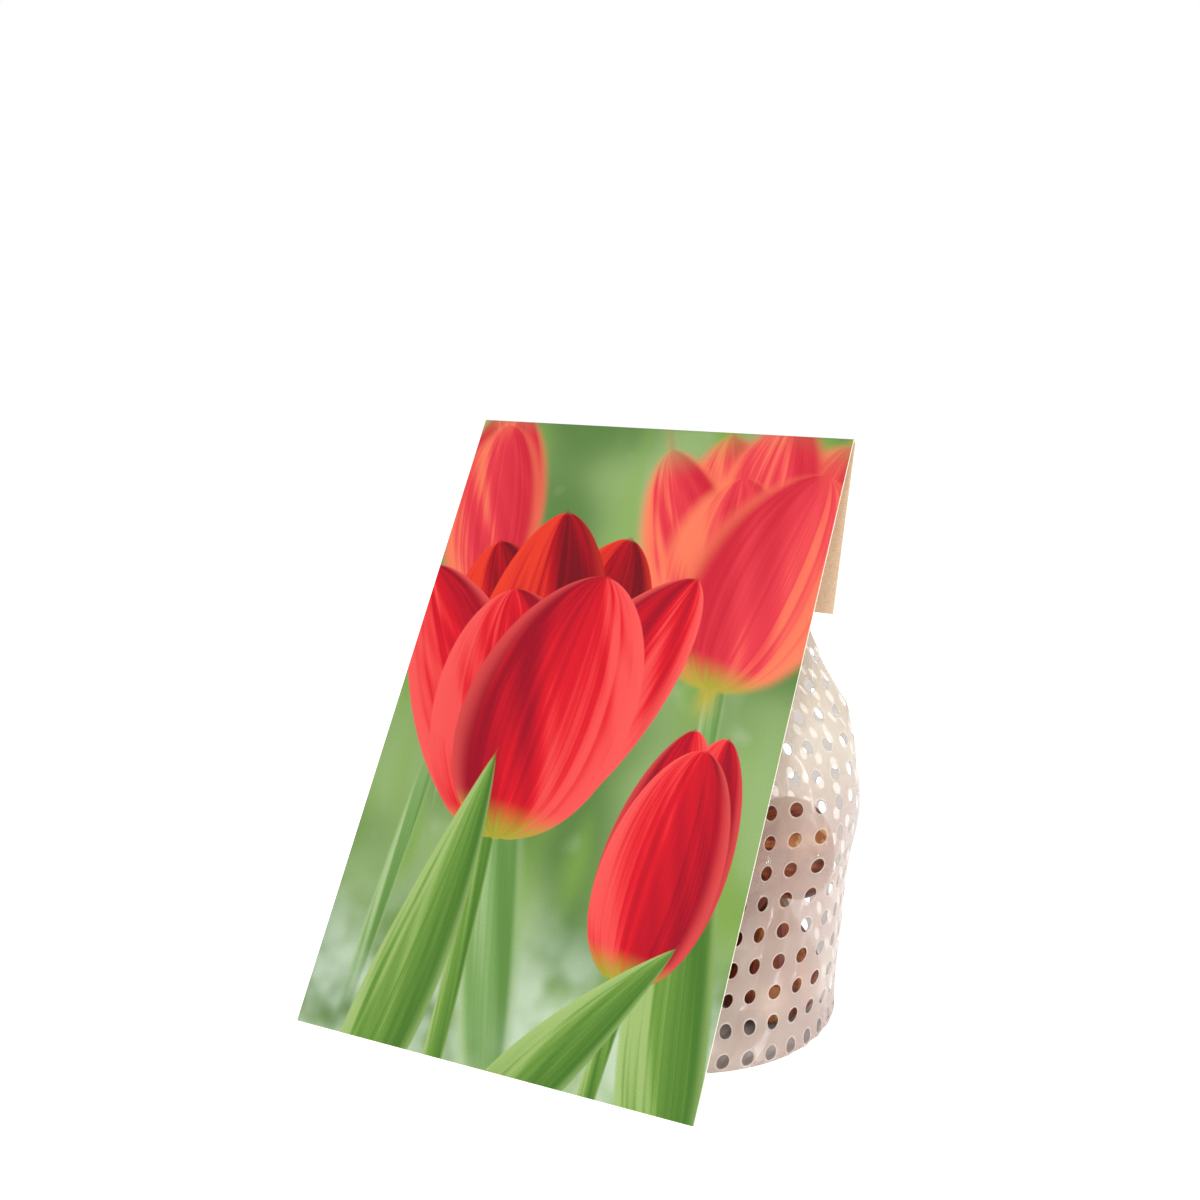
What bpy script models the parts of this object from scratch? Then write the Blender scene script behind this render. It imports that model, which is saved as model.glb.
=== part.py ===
"""A retail pack of tulip bulbs: a folded picture card, a perforated film bag behind it, and the bulbs."""

import math
import random

import bmesh
import bpy
from mathutils import Euler, Matrix, Vector
from mathutils.bvhtree import BVHTree

MM = 0.001
CLEARANCE = 0.3 * MM

# Card
CARD_WIDTH = 140 * MM
CARD_HEIGHT = 220 * MM
CARD_LEAN = math.radians(33.6)
BOARD = 0.7 * MM
FLAP_LENGTH = 56 * MM
FLAP_LEAN = math.radians(17.4)
FOLD_RADIUS = 1.2 * MM
FOLD_STEPS = 10

# Film bag
FILM = 0.5 * MM
BAG_COLUMNS = 44
BAG_ROW = 10.4 * MM
NECK_DEPTH = 3.4 * MM
NECK_TOP = 163 * MM
NECK_BOTTOM = 125 * MM
BASE_EDGE = 3.2 * MM
BAG_SQUARENESS = 2.2
RING_SAMPLES = 720
VENT_RADIUS = 2.25 * MM
VENT_SIDES = 8
VENT_SPACING = 2

# Staples
WIRE = 0.7 * MM
STAPLE_WIDTH = 12 * MM
STAPLE_DROP = 36 * MM
STAPLE_SPREAD = 35 * MM
CLINCH = 4.5 * MM
WIRE_BEND = 0.8 * MM
WIRE_ROUNDNESS = 2
HOLE_SIDES = 8

# Bulbs
BULB_RADIUS = 17.6 * MM
BULB_HEIGHT = 43 * MM
BULB_SIDES = 14
BULB_SEED = 7
BULB_MIDDLE = 0.38
BULB_SIZES = (0.93, 1.03)
CHEEK_DEPTHS = (0.80, 0.92)
NOSE_LEANS = (0.5 * MM, 3.0 * MM)
SWELLING = 0.03
POINT_MERGE = 0.0001
SETTLING_GAP = 0.48 * MM
BULB_TRIES = 12
BULB_SHIFT = 2.5 * MM
STANDING_TIPS = (8, 36)
FALLEN_TIPS = (50, 105)
STANDING_ROWS = ((3, 41 * MM, 37 * MM), (4, 74 * MM, 39 * MM), (3, 107 * MM, 38 * MM))
FALLEN_ROWS = ((3, 65 * MM, 40 * MM), (2, 98 * MM, 40 * MM), (2, 79 * MM, 127 * MM))
DROP_START = 110 * MM
DROP_STEP = 1 * MM
DROP_HALVINGS = 7


def smooth_through(points, place):
    """The value at a place on a smooth line through (place, value) points, with no overshoot."""
    slopes = [(b[1] - a[1]) / (b[0] - a[0]) for a, b in zip(points, points[1:])]
    tangents = [slopes[0]]
    for before, after in zip(slopes, slopes[1:]):
        product = before * after
        tangents.append(2 * product / (before + after) if product > 0 else 0.0)
    tangents.append(slopes[-1])
    index = 0
    while index < len(slopes) - 1 and place > points[index + 1][0]:
        index += 1
    (start, low), (end, high) = points[index], points[index + 1]
    span = end - start
    t = (place - start) / span
    value = (2 * t**3 - 3 * t**2 + 1) * low + (3 * t**2 - 2 * t**3) * high
    value += (t**3 - 2 * t**2 + t) * span * tangents[index]
    return value + (t**3 - t**2) * span * tangents[index + 1]


def card_profile():
    """The board's middle line from its bottom edge, up the panel, round the fold and down the flap."""
    foot = Vector((0, math.cos(CARD_LEAN), -math.sin(CARD_LEAN))) * (BOARD / 2)
    start = Vector((0, foot.y, -foot.z))
    up = Vector((0, math.sin(CARD_LEAN), math.cos(CARD_LEAN)))
    inward = Vector((0, math.cos(CARD_LEAN), -math.sin(CARD_LEAN)))
    turn_start = start + up * (CARD_HEIGHT - FOLD_RADIUS)
    middle = turn_start + inward * FOLD_RADIUS
    points = [start]
    for step in range(FOLD_STEPS + 1):
        heading = CARD_LEAN + (math.pi + FLAP_LEAN - CARD_LEAN) * step / FOLD_STEPS
        side = Vector((0, math.cos(heading), -math.sin(heading)))
        points.append(middle - side * FOLD_RADIUS)
    down = Vector((0, -math.sin(FLAP_LEAN), -math.cos(FLAP_LEAN)))
    points.append(points[-1] + down * FLAP_LENGTH)
    return points


def card_back(height):
    """How far back the panel's hidden face lies at a height."""
    return height * math.tan(CARD_LEAN) + BOARD / math.cos(CARD_LEAN)


def flap_front(height):
    """How far back the flap's inner face lies at a height."""
    end = card_profile()[-1]
    middle = end.y + (height - end.z) * math.tan(FLAP_LEAN)
    return middle - BOARD / 2 / math.cos(FLAP_LEAN)


def neck_back(height):
    return flap_front(height) - CLEARANCE


def bag_front(height):
    """How far back the bag's front lies: on the card low down, and on the flap in the neck."""
    if height >= NECK_BOTTOM:
        return neck_back(height) - NECK_DEPTH
    neck_gap = neck_back(NECK_BOTTOM) - NECK_DEPTH - card_back(NECK_BOTTOM)
    gaps = [
        (0, 10 * MM),
        (12 * MM, 3 * MM),
        (26 * MM, 0.4 * MM),
        (88 * MM, 0.45 * MM),
        (110 * MM, 7 * MM),
        (NECK_BOTTOM, neck_gap),
    ]
    return card_back(height) + smooth_through(gaps, height)


def bag_back(height):
    if height >= NECK_BOTTOM:
        return neck_back(height)
    backs = [
        (0, 126 * MM),
        (12 * MM, 136 * MM),
        (45 * MM, 141 * MM),
        (66 * MM, 139 * MM),
        (84 * MM, 133 * MM),
        (100 * MM, 124 * MM),
        (114 * MM, 113 * MM),
        (NECK_BOTTOM, neck_back(NECK_BOTTOM)),
    ]
    return smooth_through(backs, height)


def bag_half_width(height):
    widths = [
        (0, 84.5 * MM),
        (12 * MM, 85 * MM),
        (40 * MM, 84.5 * MM),
        (66 * MM, 83.5 * MM),
        (84 * MM, 79.5 * MM),
        (100 * MM, 74 * MM),
        (116 * MM, 68 * MM),
        (NECK_BOTTOM, 63 * MM),
        (NECK_TOP, 61 * MM),
    ]
    return smooth_through(widths, height)


def signed_power(value, power):
    return math.copysign(abs(value) ** power, value)


def bag_ring(height, inset=0.0):
    """One level section of the bag, as points at equal steps round it, from its right-hand tip."""
    front = bag_front(height) + inset
    back = bag_back(height) - inset
    half = bag_half_width(height) - inset
    middle = (front + back) / 2
    depth = (back - front) / 2
    power = 2 / BAG_SQUARENESS
    line = []
    for sample in range(RING_SAMPLES + 1):
        angle = 2 * math.pi * sample / RING_SAMPLES
        x = half * signed_power(math.cos(angle), power)
        y = middle + depth * signed_power(math.sin(angle), power)
        line.append(Vector((x, y, height)))
    lengths = [0.0]
    for a, b in zip(line, line[1:]):
        lengths.append(lengths[-1] + (b - a).length)
    ring = []
    sample = 0
    for column in range(BAG_COLUMNS):
        wanted = lengths[-1] * column / BAG_COLUMNS
        while lengths[sample + 1] < wanted:
            sample += 1
        share = (wanted - lengths[sample]) / (lengths[sample + 1] - lengths[sample])
        ring.append(line[sample].lerp(line[sample + 1], share))
    return ring


def bag_heights():
    """The heights of the bag's sections above its rounded bottom edge, about one row apart."""
    heights = [BASE_EDGE]
    for start, end in ((BASE_EDGE, NECK_BOTTOM), (NECK_BOTTOM, NECK_TOP)):
        rows = round((end - start) / BAG_ROW)
        heights += [start + (end - start) * row / rows for row in range(1, rows + 1)]
    return heights


def vented_cell(mesh, corners):
    """One cell of the film with a round vent in its middle. The corners run anticlockwise from below left."""
    below_left, below_right, above_right, above_left = corners
    middle = sum((corner.co for corner in corners), Vector()) / len(corners)
    across = (below_right.co + above_right.co - below_left.co - above_left.co).normalized()
    up = above_left.co + above_right.co - below_left.co - below_right.co
    up = (up - across * up.dot(across)).normalized()
    rim = []
    for side in range(VENT_SIDES):
        angle = 2 * math.pi * side / VENT_SIDES
        place = middle + (across * math.cos(angle) + up * math.sin(angle)) * VENT_RADIUS
        rim.append(mesh.verts.new(place))
    turning = [above_right, above_left, below_left, below_right]
    for quarter, corner in enumerate(turning):
        previous = turning[quarter - 1]
        first = rim[2 * quarter]
        second = rim[2 * quarter + 1]
        third = rim[(2 * quarter + 2) % VENT_SIDES]
        mesh.faces.new((previous, corner, first))
        mesh.faces.new((first, corner, second))
        mesh.faces.new((second, corner, third))


def new_object(name, data, collection, material):
    thing = bpy.data.objects.new(name, data)
    collection.objects.link(thing)
    if material:
        data.materials.append(material)
    return thing


def plain_material(name, colour, roughness, metallic=0.0, alpha=1.0):
    material = bpy.data.materials.new(name)
    material.use_nodes = True
    shader = material.node_tree.nodes["Principled BSDF"]
    shader.inputs["Base Color"].default_value = (*colour, 1)
    shader.inputs["Roughness"].default_value = roughness
    shader.inputs["Metallic"].default_value = metallic
    shader.inputs["Alpha"].default_value = alpha
    return material


def add_wall(thing, thickness, offset):
    wall = thing.modifiers.new("wall", "SOLIDIFY")
    wall.thickness = thickness
    wall.offset = offset
    wall.use_even_offset = True
    wall.use_rim = True


def make_card(collection, material):
    mesh = bmesh.new()
    rows = []
    for point in card_profile():
        left = mesh.verts.new((-CARD_WIDTH / 2, point.y, point.z))
        right = mesh.verts.new((CARD_WIDTH / 2, point.y, point.z))
        rows.append((left, right))
    for (left, right), (next_left, next_right) in zip(rows, rows[1:]):
        mesh.faces.new((left, right, next_right, next_left))
    data = bpy.data.meshes.new("header_card")
    mesh.to_mesh(data)
    mesh.free()
    card = new_object("header_card", data, collection, material)
    add_wall(card, BOARD, 0)
    return card


def make_bag(collection, material):
    mesh = bmesh.new()
    rings = [[mesh.verts.new(point) for point in bag_ring(0, BASE_EDGE)]]
    heights = bag_heights()
    for height in heights:
        rings.append([mesh.verts.new(point) for point in bag_ring(height)])
    for band, (lower, upper) in enumerate(zip(rings, rings[1:])):
        vented_band = band % VENT_SPACING == 1 and heights[band] < NECK_BOTTOM
        for column in range(BAG_COLUMNS):
            after = (column + 1) % BAG_COLUMNS
            corners = (lower[column], lower[after], upper[after], upper[column])
            if vented_band and column % VENT_SPACING == 1:
                vented_cell(mesh, corners)
            else:
                mesh.faces.new(corners)
    base = rings[0]
    tip = BAG_COLUMNS // 2
    mesh.faces.new((base[0], base[-1], base[1]))
    for column in range(1, tip - 1):
        mirrored = BAG_COLUMNS - column
        mesh.faces.new((base[column], base[mirrored], base[mirrored - 1], base[column + 1]))
    mesh.faces.new((base[tip - 1], base[tip + 1], base[tip]))
    data = bpy.data.meshes.new("film_bag")
    mesh.to_mesh(data)
    mesh.free()
    bag = new_object("film_bag", data, collection, material)
    add_wall(bag, FILM, -1)
    data.shade_smooth()
    return bag


def staple_place(side):
    """Where a staple's crown lies on the flap, and the turn that makes its legs point forward."""
    fold = card_profile()[-2]
    down = Vector((0, -math.sin(FLAP_LEAN), -math.cos(FLAP_LEAN)))
    out = Vector((0, math.cos(FLAP_LEAN), -math.sin(FLAP_LEAN)))
    place = fold + down * STAPLE_DROP + out * (BOARD / 2)
    place.x = side * STAPLE_SPREAD
    return place, Euler((-(math.pi / 2 + FLAP_LEAN), 0, 0))


def staple_route():
    """Half of a staple's wire, from the middle of its crown to the end of its clinched leg."""
    crown = CLEARANCE + WIRE / 2
    reach = -(BOARD + CLEARANCE + NECK_DEPTH * math.cos(FLAP_LEAN) + CLEARANCE + WIRE / 2)
    side = STAPLE_WIDTH / 2
    return [
        Vector((side - WIRE_BEND, 0, crown)),
        Vector((side - WIRE_BEND / 3, 0, crown - WIRE_BEND / 3)),
        Vector((side, 0, crown - WIRE_BEND)),
        Vector((side, 0, reach + WIRE_BEND)),
        Vector((side - WIRE_BEND / 3, 0, reach + WIRE_BEND / 3)),
        Vector((side - WIRE_BEND, 0, reach)),
        Vector((side - CLINCH, 0, reach)),
    ]


def make_staple(name, side, collection, material):
    half = staple_route()
    points = [Vector((-point.x, 0, point.z)) for point in reversed(half)] + half
    data = bpy.data.curves.new(name, "CURVE")
    data.dimensions = "3D"
    spline = data.splines.new("POLY")
    spline.points.add(len(points) - 1)
    for control, point in zip(spline.points, points):
        control.co = (*point, 1)
    data.bevel_depth = WIRE / 2
    data.bevel_resolution = WIRE_ROUNDNESS
    data.use_fill_caps = True
    staple = new_object(name, data, collection, material)
    staple.location, staple.rotation_euler = staple_place(side)
    return staple


def cut_leg_holes(side, pierced, cutters):
    """Round holes through the flap and the film's neck, a little wider than the staple's legs."""
    place, turn = staple_place(side)
    depth = BOARD + CLEARANCE + NECK_DEPTH + 2 * WIRE
    for leg in (-1, 1):
        along = turn.to_matrix() @ Vector((leg * STAPLE_WIDTH / 2, 0, WIRE - depth / 2))
        bpy.ops.mesh.primitive_cylinder_add(
            vertices=HOLE_SIDES,
            radius=WIRE / 2 + CLEARANCE,
            depth=depth,
            location=place + along,
            rotation=turn,
        )
        cutter = bpy.context.object
        cutter.name = f"leg_hole_{side}_{leg}"
        cutter.hide_render = True
        cutter.display_type = "WIRE"
        for collection in list(cutter.users_collection):
            collection.objects.unlink(cutter)
        cutters.objects.link(cutter)
        for thing in pierced:
            cut = thing.modifiers.new(cutter.name, "BOOLEAN")
            cut.operation = "DIFFERENCE"
            cut.solver = "EXACT"
            cut.object = cutter


def bulb_profile():
    """A bulb's side as (share of its radius, share of its height), from its nose to its basal plate."""
    return [
        (0.0, 1.0),
        (0.10, 0.955),
        (0.24, 0.86),
        (0.47, 0.73),
        (0.75, 0.57),
        (0.95, 0.40),
        (1.0, 0.27),
        (0.90, 0.13),
        (0.62, 0.03),
        (0.36, 0.0),
        (0.0, 0.015),
    ]


def turned_bulb():
    """The round bulb that every other one is shaped from, as a mesh with its basal plate at the origin."""
    data = bpy.data.meshes.new("bulb_side")
    mesh = bmesh.new()
    line = [mesh.verts.new((r * BULB_RADIUS, 0, z * BULB_HEIGHT)) for r, z in bulb_profile()]
    for above, below in zip(line, line[1:]):
        mesh.edges.new((above, below))
    mesh.to_mesh(data)
    mesh.free()
    side = bpy.data.objects.new("bulb_side", data)
    bpy.context.scene.collection.objects.link(side)
    screw = side.modifiers.new("turn", "SCREW")
    screw.steps = BULB_SIDES
    screw.render_steps = BULB_SIDES
    screw.use_merge_vertices = True
    screw.merge_threshold = POINT_MERGE
    graph = bpy.context.evaluated_depsgraph_get()
    turned = bpy.data.meshes.new_from_object(side.evaluated_get(graph))
    bpy.data.objects.remove(side)
    return turned


def shaped_bulb(round_bulb, name, draw):
    """A bulb with one flatter cheek, a nose that leans and a size of its own, about its middle."""
    size = draw.uniform(*BULB_SIZES)
    cheek = draw.uniform(*CHEEK_DEPTHS)
    lean = draw.uniform(*NOSE_LEANS)
    lobe = draw.uniform(0.0, math.pi)
    data = round_bulb.copy()
    data.name = name
    for vertex in data.vertices:
        x, y, z = vertex.co
        share = z / BULB_HEIGHT
        around = math.atan2(y, x)
        swell = 1 + SWELLING * math.sin(2 * around + lobe)
        y *= cheek if y < 0 else 1.0
        x = x * swell + lean * share**2
        vertex.co = Vector((x, y * swell, z - BULB_MIDDLE * BULB_HEIGHT)) * size
    return data


def turned_points(data, turn):
    return [turn @ vertex.co for vertex in data.vertices]


def swollen_points(data, turn):
    """The bulb's points moved out from its skin, so that settled bulbs keep a small gap."""
    return [turn @ (vertex.co + vertex.normal * SETTLING_GAP) for vertex in data.vertices]


def tree_of(points, data, place):
    faces = [tuple(face.vertices) for face in data.polygons]
    return BVHTree.FromPolygons([point + place for point in points], faces)


def resting_height(data, turn, spot, placed):
    """The lowest height at which a bulb dropped on a spot lies clear of those already in the bag."""
    swollen = swollen_points(data, turn)
    floor = FILM + CLEARANCE - min(point.z for point in turned_points(data, turn))

    def touches(height):
        tree = tree_of(swollen, data, Vector((*spot, height)))
        return any(tree.overlap(other) for other in placed)

    height = DROP_START
    while height > floor and not touches(height - DROP_STEP):
        height -= DROP_STEP
    if height <= floor:
        return floor
    clear = height
    blocked = height - DROP_STEP
    for _ in range(DROP_HALVINGS):
        middle = (clear + blocked) / 2
        if touches(middle):
            blocked = middle
        else:
            clear = middle
    return max(clear, floor)


def bag_lining():
    """The film's inner face, which no bulb may reach."""
    rings = [bag_ring(0, BASE_EDGE + FILM)]
    rings += [bag_ring(height, FILM) for height in bag_heights()]
    points = [point for ring in rings for point in ring]
    faces = []
    for band in range(len(rings) - 1):
        for column in range(BAG_COLUMNS):
            after = (column + 1) % BAG_COLUMNS
            lower = band * BAG_COLUMNS
            upper = lower + BAG_COLUMNS
            faces.append((lower + column, lower + after, upper + after, upper + column))
    return BVHTree.FromPolygons(points, faces)


def bulb_spots():
    """Where each bulb is dropped, and how far it may be tipped: a standing layer, then bulbs on top."""
    spots = []
    for count, back, gap in STANDING_ROWS:
        for place in range(count):
            across = (place - (count - 1) / 2) * gap
            spots.append((across, back, STANDING_TIPS))
    for count, back, gap in FALLEN_ROWS:
        for place in range(count):
            across = (place - (count - 1) / 2) * gap
            spots.append((across, back, FALLEN_TIPS))
    return spots


def random_turn(draw, tips):
    tip = math.radians(draw.uniform(*tips))
    roll = Matrix.Rotation(draw.uniform(0, 2 * math.pi), 3, "Z")
    heading = Matrix.Rotation(draw.uniform(0, 2 * math.pi), 3, "Z")
    return heading @ Matrix.Rotation(tip, 3, "X") @ roll


def settled_bulb(data, across, back, tips, placed, lining, draw):
    """The lowest of several seeded ways for a bulb to lie near a spot, clear of the bag's walls."""
    best = None
    for _ in range(BULB_TRIES):
        turn = random_turn(draw, tips)
        shift = [draw.uniform(-BULB_SHIFT, BULB_SHIFT) for _ in range(2)]
        spot = (across + shift[0], back + shift[1])
        height = resting_height(data, turn, spot, placed)
        place = Vector((*spot, height))
        if best and height >= best[0].z:
            continue
        if tree_of(swollen_points(data, turn), data, place).overlap(lining):
            continue
        best = (place, turn)
    return best


def make_bulbs(collection, material):
    draw = random.Random(BULB_SEED)
    round_bulb = turned_bulb()
    lining = bag_lining()
    placed = []
    for number, (across, back, tips) in enumerate(bulb_spots(), start=1):
        name = f"bulb_{number:02d}"
        data = shaped_bulb(round_bulb, name, draw)
        place, turn = settled_bulb(data, across, back, tips, placed, lining, draw)
        placed.append(tree_of(turned_points(data, turn), data, place))
        bulb = new_object(name, data, collection, material)
        bulb.location = place
        bulb.rotation_euler = turn.to_euler()
        data.shade_smooth()
    bpy.data.meshes.remove(round_bulb)


def centre_on_footprint(collection):
    """Hangs every piece on an empty that puts the origin in the middle of the pack's footprint."""
    centre = bpy.data.objects.new("pack_centre", None)
    collection.objects.link(centre)
    front = min(point.y for point in card_profile()) - BOARD / 2 * math.cos(CARD_LEAN)
    back = max(point.y for height in bag_heights() for point in bag_ring(height))
    centre.location.y = -(front + back) / 2
    for thing in list(bpy.data.objects):
        if thing is not centre:
            thing.parent = centre


def main():
    for thing in list(bpy.data.objects):
        bpy.data.objects.remove(thing)
    scene = bpy.context.scene
    pack = bpy.data.collections.new("tulip_bulb_pack")
    cutters = bpy.data.collections.new("cutters")
    scene.collection.children.link(pack)
    scene.collection.children.link(cutters)
    board = plain_material("printed_board", (0.52, 0.06, 0.06), 0.45)
    film = plain_material("clear_film", (0.82, 0.76, 0.70), 0.25, alpha=0.5)
    steel = plain_material("staple_wire", (0.75, 0.75, 0.76), 0.3, metallic=1.0)
    tunic = plain_material("bulb_tunic", (0.42, 0.16, 0.05), 0.6)
    card = make_card(pack, board)
    bag = make_bag(pack, film)
    for side, name in ((-1, "staple_left"), (1, "staple_right")):
        make_staple(name, side, pack, steel)
        cut_leg_holes(side, (card, bag), cutters)
    make_bulbs(pack, tunic)
    centre_on_footprint(pack)


main()
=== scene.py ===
"""The looks of a pack of tulip bulbs: a printed card, a perforated film bag, the bulbs and two staples."""

import math
import random

import bmesh
import bpy
import numpy as np
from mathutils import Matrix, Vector
from mathutils.bvhtree import BVHTree


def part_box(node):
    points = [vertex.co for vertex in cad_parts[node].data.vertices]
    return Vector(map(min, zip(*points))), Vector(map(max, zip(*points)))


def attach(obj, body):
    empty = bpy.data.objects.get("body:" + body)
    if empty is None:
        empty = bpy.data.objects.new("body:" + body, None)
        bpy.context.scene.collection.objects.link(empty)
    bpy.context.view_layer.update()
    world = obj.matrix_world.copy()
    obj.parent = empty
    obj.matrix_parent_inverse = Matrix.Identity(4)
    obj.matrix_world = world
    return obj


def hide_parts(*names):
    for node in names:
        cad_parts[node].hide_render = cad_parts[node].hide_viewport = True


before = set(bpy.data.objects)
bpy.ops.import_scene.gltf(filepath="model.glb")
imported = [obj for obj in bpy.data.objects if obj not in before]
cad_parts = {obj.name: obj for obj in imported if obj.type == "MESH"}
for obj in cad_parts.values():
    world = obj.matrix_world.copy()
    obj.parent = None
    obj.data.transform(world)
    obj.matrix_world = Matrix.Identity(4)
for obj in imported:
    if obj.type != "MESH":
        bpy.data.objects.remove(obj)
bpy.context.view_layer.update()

MM = 0.001
WHITE = (1, 1, 1, 1)

# Camera
CAMERA_PLACE = (0.2367, -0.4477, 0.2404)
CAMERA_DOWN = math.radians(12.01)
CAMERA_ROUND = math.radians(27.51)
CAMERA_LENS = 47.94
CAMERA_SENSOR = 36

# Studio, with each light's name, place, size and power
WORLD_LIGHT = 0.5
WORLD_SEEN = 1.0
FLOOR_COLOUR = (0.86, 0.86, 0.86, 1)
FLOOR_ROUGHNESS = 0.7
FLOOR_GLOW = 0.56
FLOOR_HALF = 4.0
FLOOR_SQUARES = 8
LIGHT_AIM = Vector((0, 0, 0.09))
LIGHTS = (
    ("key", (0.15, -0.7, 1.25), (0.4, 0.4), 7),
    ("side", (0.95, -0.42, 0.36), (0.14, 0.5), 4),
    ("back", (0.2, 1.0, 0.8), (0.6, 0.4), 5),
)

# Card, with the places of its three materials
CARD_LEAN = math.radians(33.6)
CARD_HEIGHT = 220 * MM
CAD_BOARD = 0.7 * MM
BOARD = 0.6 * MM
FLAP_LENGTH = 56 * MM
FLAP_LEAN = math.radians(17.4)
FOLD_RADIUS = 1.2 * MM
FOLD_STEPS = 20
CARD_COLUMNS = 28
PANEL_ROWS = 44
FLAP_ROWS = 12
OUTSIDE, INSIDE, CUT = range(3)

# Film bag, in the card's own frame, whose y starts at the card's bottom edge
ROW_SHIFT = -70.5 * MM
BAG_SQUARENESS = 2.2
NECK_BOTTOM = 125 * MM
NECK_TOP = 163 * MM
NECK_DEPTH = 3.4 * MM
BASE_EDGE = 3.2 * MM
LOWEST_RIM = BASE_EDGE / 3
FLOOR_GAP = 0.1 * MM
CLEARANCE = 0.3 * MM
FILM = 0.1 * MM
RING_SAMPLES = 2880

# The bag's outline as (height, measure) pairs in millimetres: gap behind the card, back, half-width
FRONT_GAPS = [(0, 10), (12, 3), (26, 0.4), (88, 0.45), (110, 7)]
BACKS = [(0, 126), (12, 136), (45, 141), (66, 139), (84, 133), (100, 124), (114, 113)]
HALF_WIDTHS = [(0, 84.5), (12, 85), (40, 84.5), (66, 83.5), (84, 79.5), (100, 74), (116, 68)]
HALF_WIDTHS += [(125, 63), (163, 61)]

# Vents, with radii in shares of a cell, and the grid that the film's surface is worked out on
VENT_COLUMNS = 56
VENT_ROWS = 19
VENT_SIDES = 16
VENT_RADIUS = 0.245
RIM_RADIUS = 0.335
CELL_MIDDLE = (0.5, 0.5, 0)
CELL_HALF = 0.5
FLATTENED = (1, 1, 0)
CELL_MERGE = 0.001
FILM_MERGE = 0.02 * MM
SEAM_SLIP = 1e-4
SURFACE_COLUMNS = 352
SURFACE_ROWS = 160
SPARE_STEPS = 4

# Heights in millimetres between which one part of the film passes into the next
BASE_BLEND = (0, 2)
FOOT_BLEND = (1, 9)
HEAP_BLEND = (60, 88)
NECK_BLEND = (104, 126)

# One turn of the bag in millimetres, for patterns that close on themselves
FILM_TURN = 480

# Folds, each kind by its spacing in millimetres, its heading and the spread of its heading
FILM_SEED = 11
BROAD_FOLDS = (46, 0.5, 1.4)
PLEATS = (19, 0.0, 0.2)
FINE_FOLDS = (15, 0.9, 1.5)
FOLD_LAYERS = 3
FOLD_SWAYS = 2
SPACING_RANGE = (0.7, 1.4)
SWAY_REACH = (38, 70)
SWAY_WAVES = (1, 3)
SWAY_DEPTH = 0.35
PATCH_REACH = (24, 60)
PATCH_WAVES = (3, 8)
PATCH_MIDDLE = 0.6
PATCH_LIMITS = (0.1, 1.4)
PHASES = (0, 6)

# How deep the folds are, in millimetres: over the bulbs, more in the empty part, and less in the neck
BROAD_DEPTH = 0.5
BROAD_LOOSE = 1.9
BROAD_AT_NECK = 0.9
PLEAT_START = 0.2
PLEAT_DEPTH = 0.08
PLEAT_LOOSE = 0.80
PLEAT_HEIGHTS = (60, 112)
PLEAT_AT_NECK = 0.40
FINE_DEPTH = 0.10
FINE_LOOSE = 0.10
DEEPEST_PULL = 7.0 * MM
DEEPEST_SAG = 2.5 * MM
SAG_BLURS = 14
BULB_GAP = 0.45 * MM
CARD_GAP = 0.15 * MM
FLAP_MARGIN = 8 * MM
SHARP_FOLD = math.radians(38)

# The flattened front corners, the sharp turn at the sides and the fuller shoulders, all in millimetres
BODY_START = (6, 24)
BODY_END = (96, 118)
CORNER_START = (44, 62)
CORNER_END = (70, 82)
CORNER_BACK = (-8, 6)
CORNER_DEPTH = 5.0
TURN_START = (76, 82)
TURN_MIDDLE = 3
TURN_REACH = 11
TURN_SWELL = 1.6
SHOULDER_START = (44, 66)
SHOULDER_END = (98, 124)
SHOULDER_WIDE = (58, 76)
SHOULDER_SWELL = 3.0

# Bulbs
BULB_COUNT = 17
BULB_COLUMNS = 48
BULB_ROWS = 34
BULB_SHARE = 1.02
BULB_SPREAD = 4.5 * MM
BULB_REACH = 81.5 * MM
SIDE_BULBS = (22, 56)
CORNER_DIGITS = 6
FIRST_RING = 0.01
RINGED_SHARE = 0.98
FOOT_SHARE = 0.012
NOSE_SHARE = 0.985
ROUND_BLURS = 3
TUNIC_RIBS = (5, 8, 13)
RIB_RELIEF = 0.018
RIB_SWAY = (0.5, 2.0)
MAP_SHARE = 0.9999


def set_inputs(tree, node, inputs):
    """Gives each named input a value or joins it to a socket."""
    for key, value in inputs.items():
        socket = node.inputs[key]
        if isinstance(value, bpy.types.NodeSocket):
            tree.links.new(value, socket)
        else:
            socket.default_value = value


def wire(tree, kind, inputs=None, **settings):
    """A new node with its settings made and each named input given a value or joined to a socket."""
    node = tree.nodes.new(kind)
    for key, value in settings.items():
        setattr(node, key, value)
    set_inputs(tree, node, inputs or {})
    return node


def maths(tree, operation, *values, clamp=False):
    inputs = dict(enumerate(values))
    return wire(tree, "ShaderNodeMath", inputs, operation=operation, use_clamp=clamp).outputs[0]


def vector_maths(tree, operation, inputs, output=0):
    return wire(tree, "ShaderNodeVectorMath", inputs, operation=operation).outputs[output]


def parts_of(tree, vector):
    """The three numbers of a vector."""
    return wire(tree, "ShaderNodeSeparateXYZ", {0: vector}).outputs


def combined(tree, *numbers):
    """Three numbers made one vector."""
    return wire(tree, "ShaderNodeCombineXYZ", dict(enumerate(numbers))).outputs[0]


def clamped(tree, value, low, high):
    return wire(tree, "ShaderNodeClamp", {"Value": value, "Min": low, "Max": high}).outputs[0]


def mixed(tree, factor, under, over, blend="MIX"):
    """One colour laid over another by a factor. The node's colours are its sockets 6 and 7."""
    inputs = {0: factor, 6: under, 7: over}
    return wire(tree, "ShaderNodeMix", inputs, data_type="RGBA", blend_type=blend).outputs[2]


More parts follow.
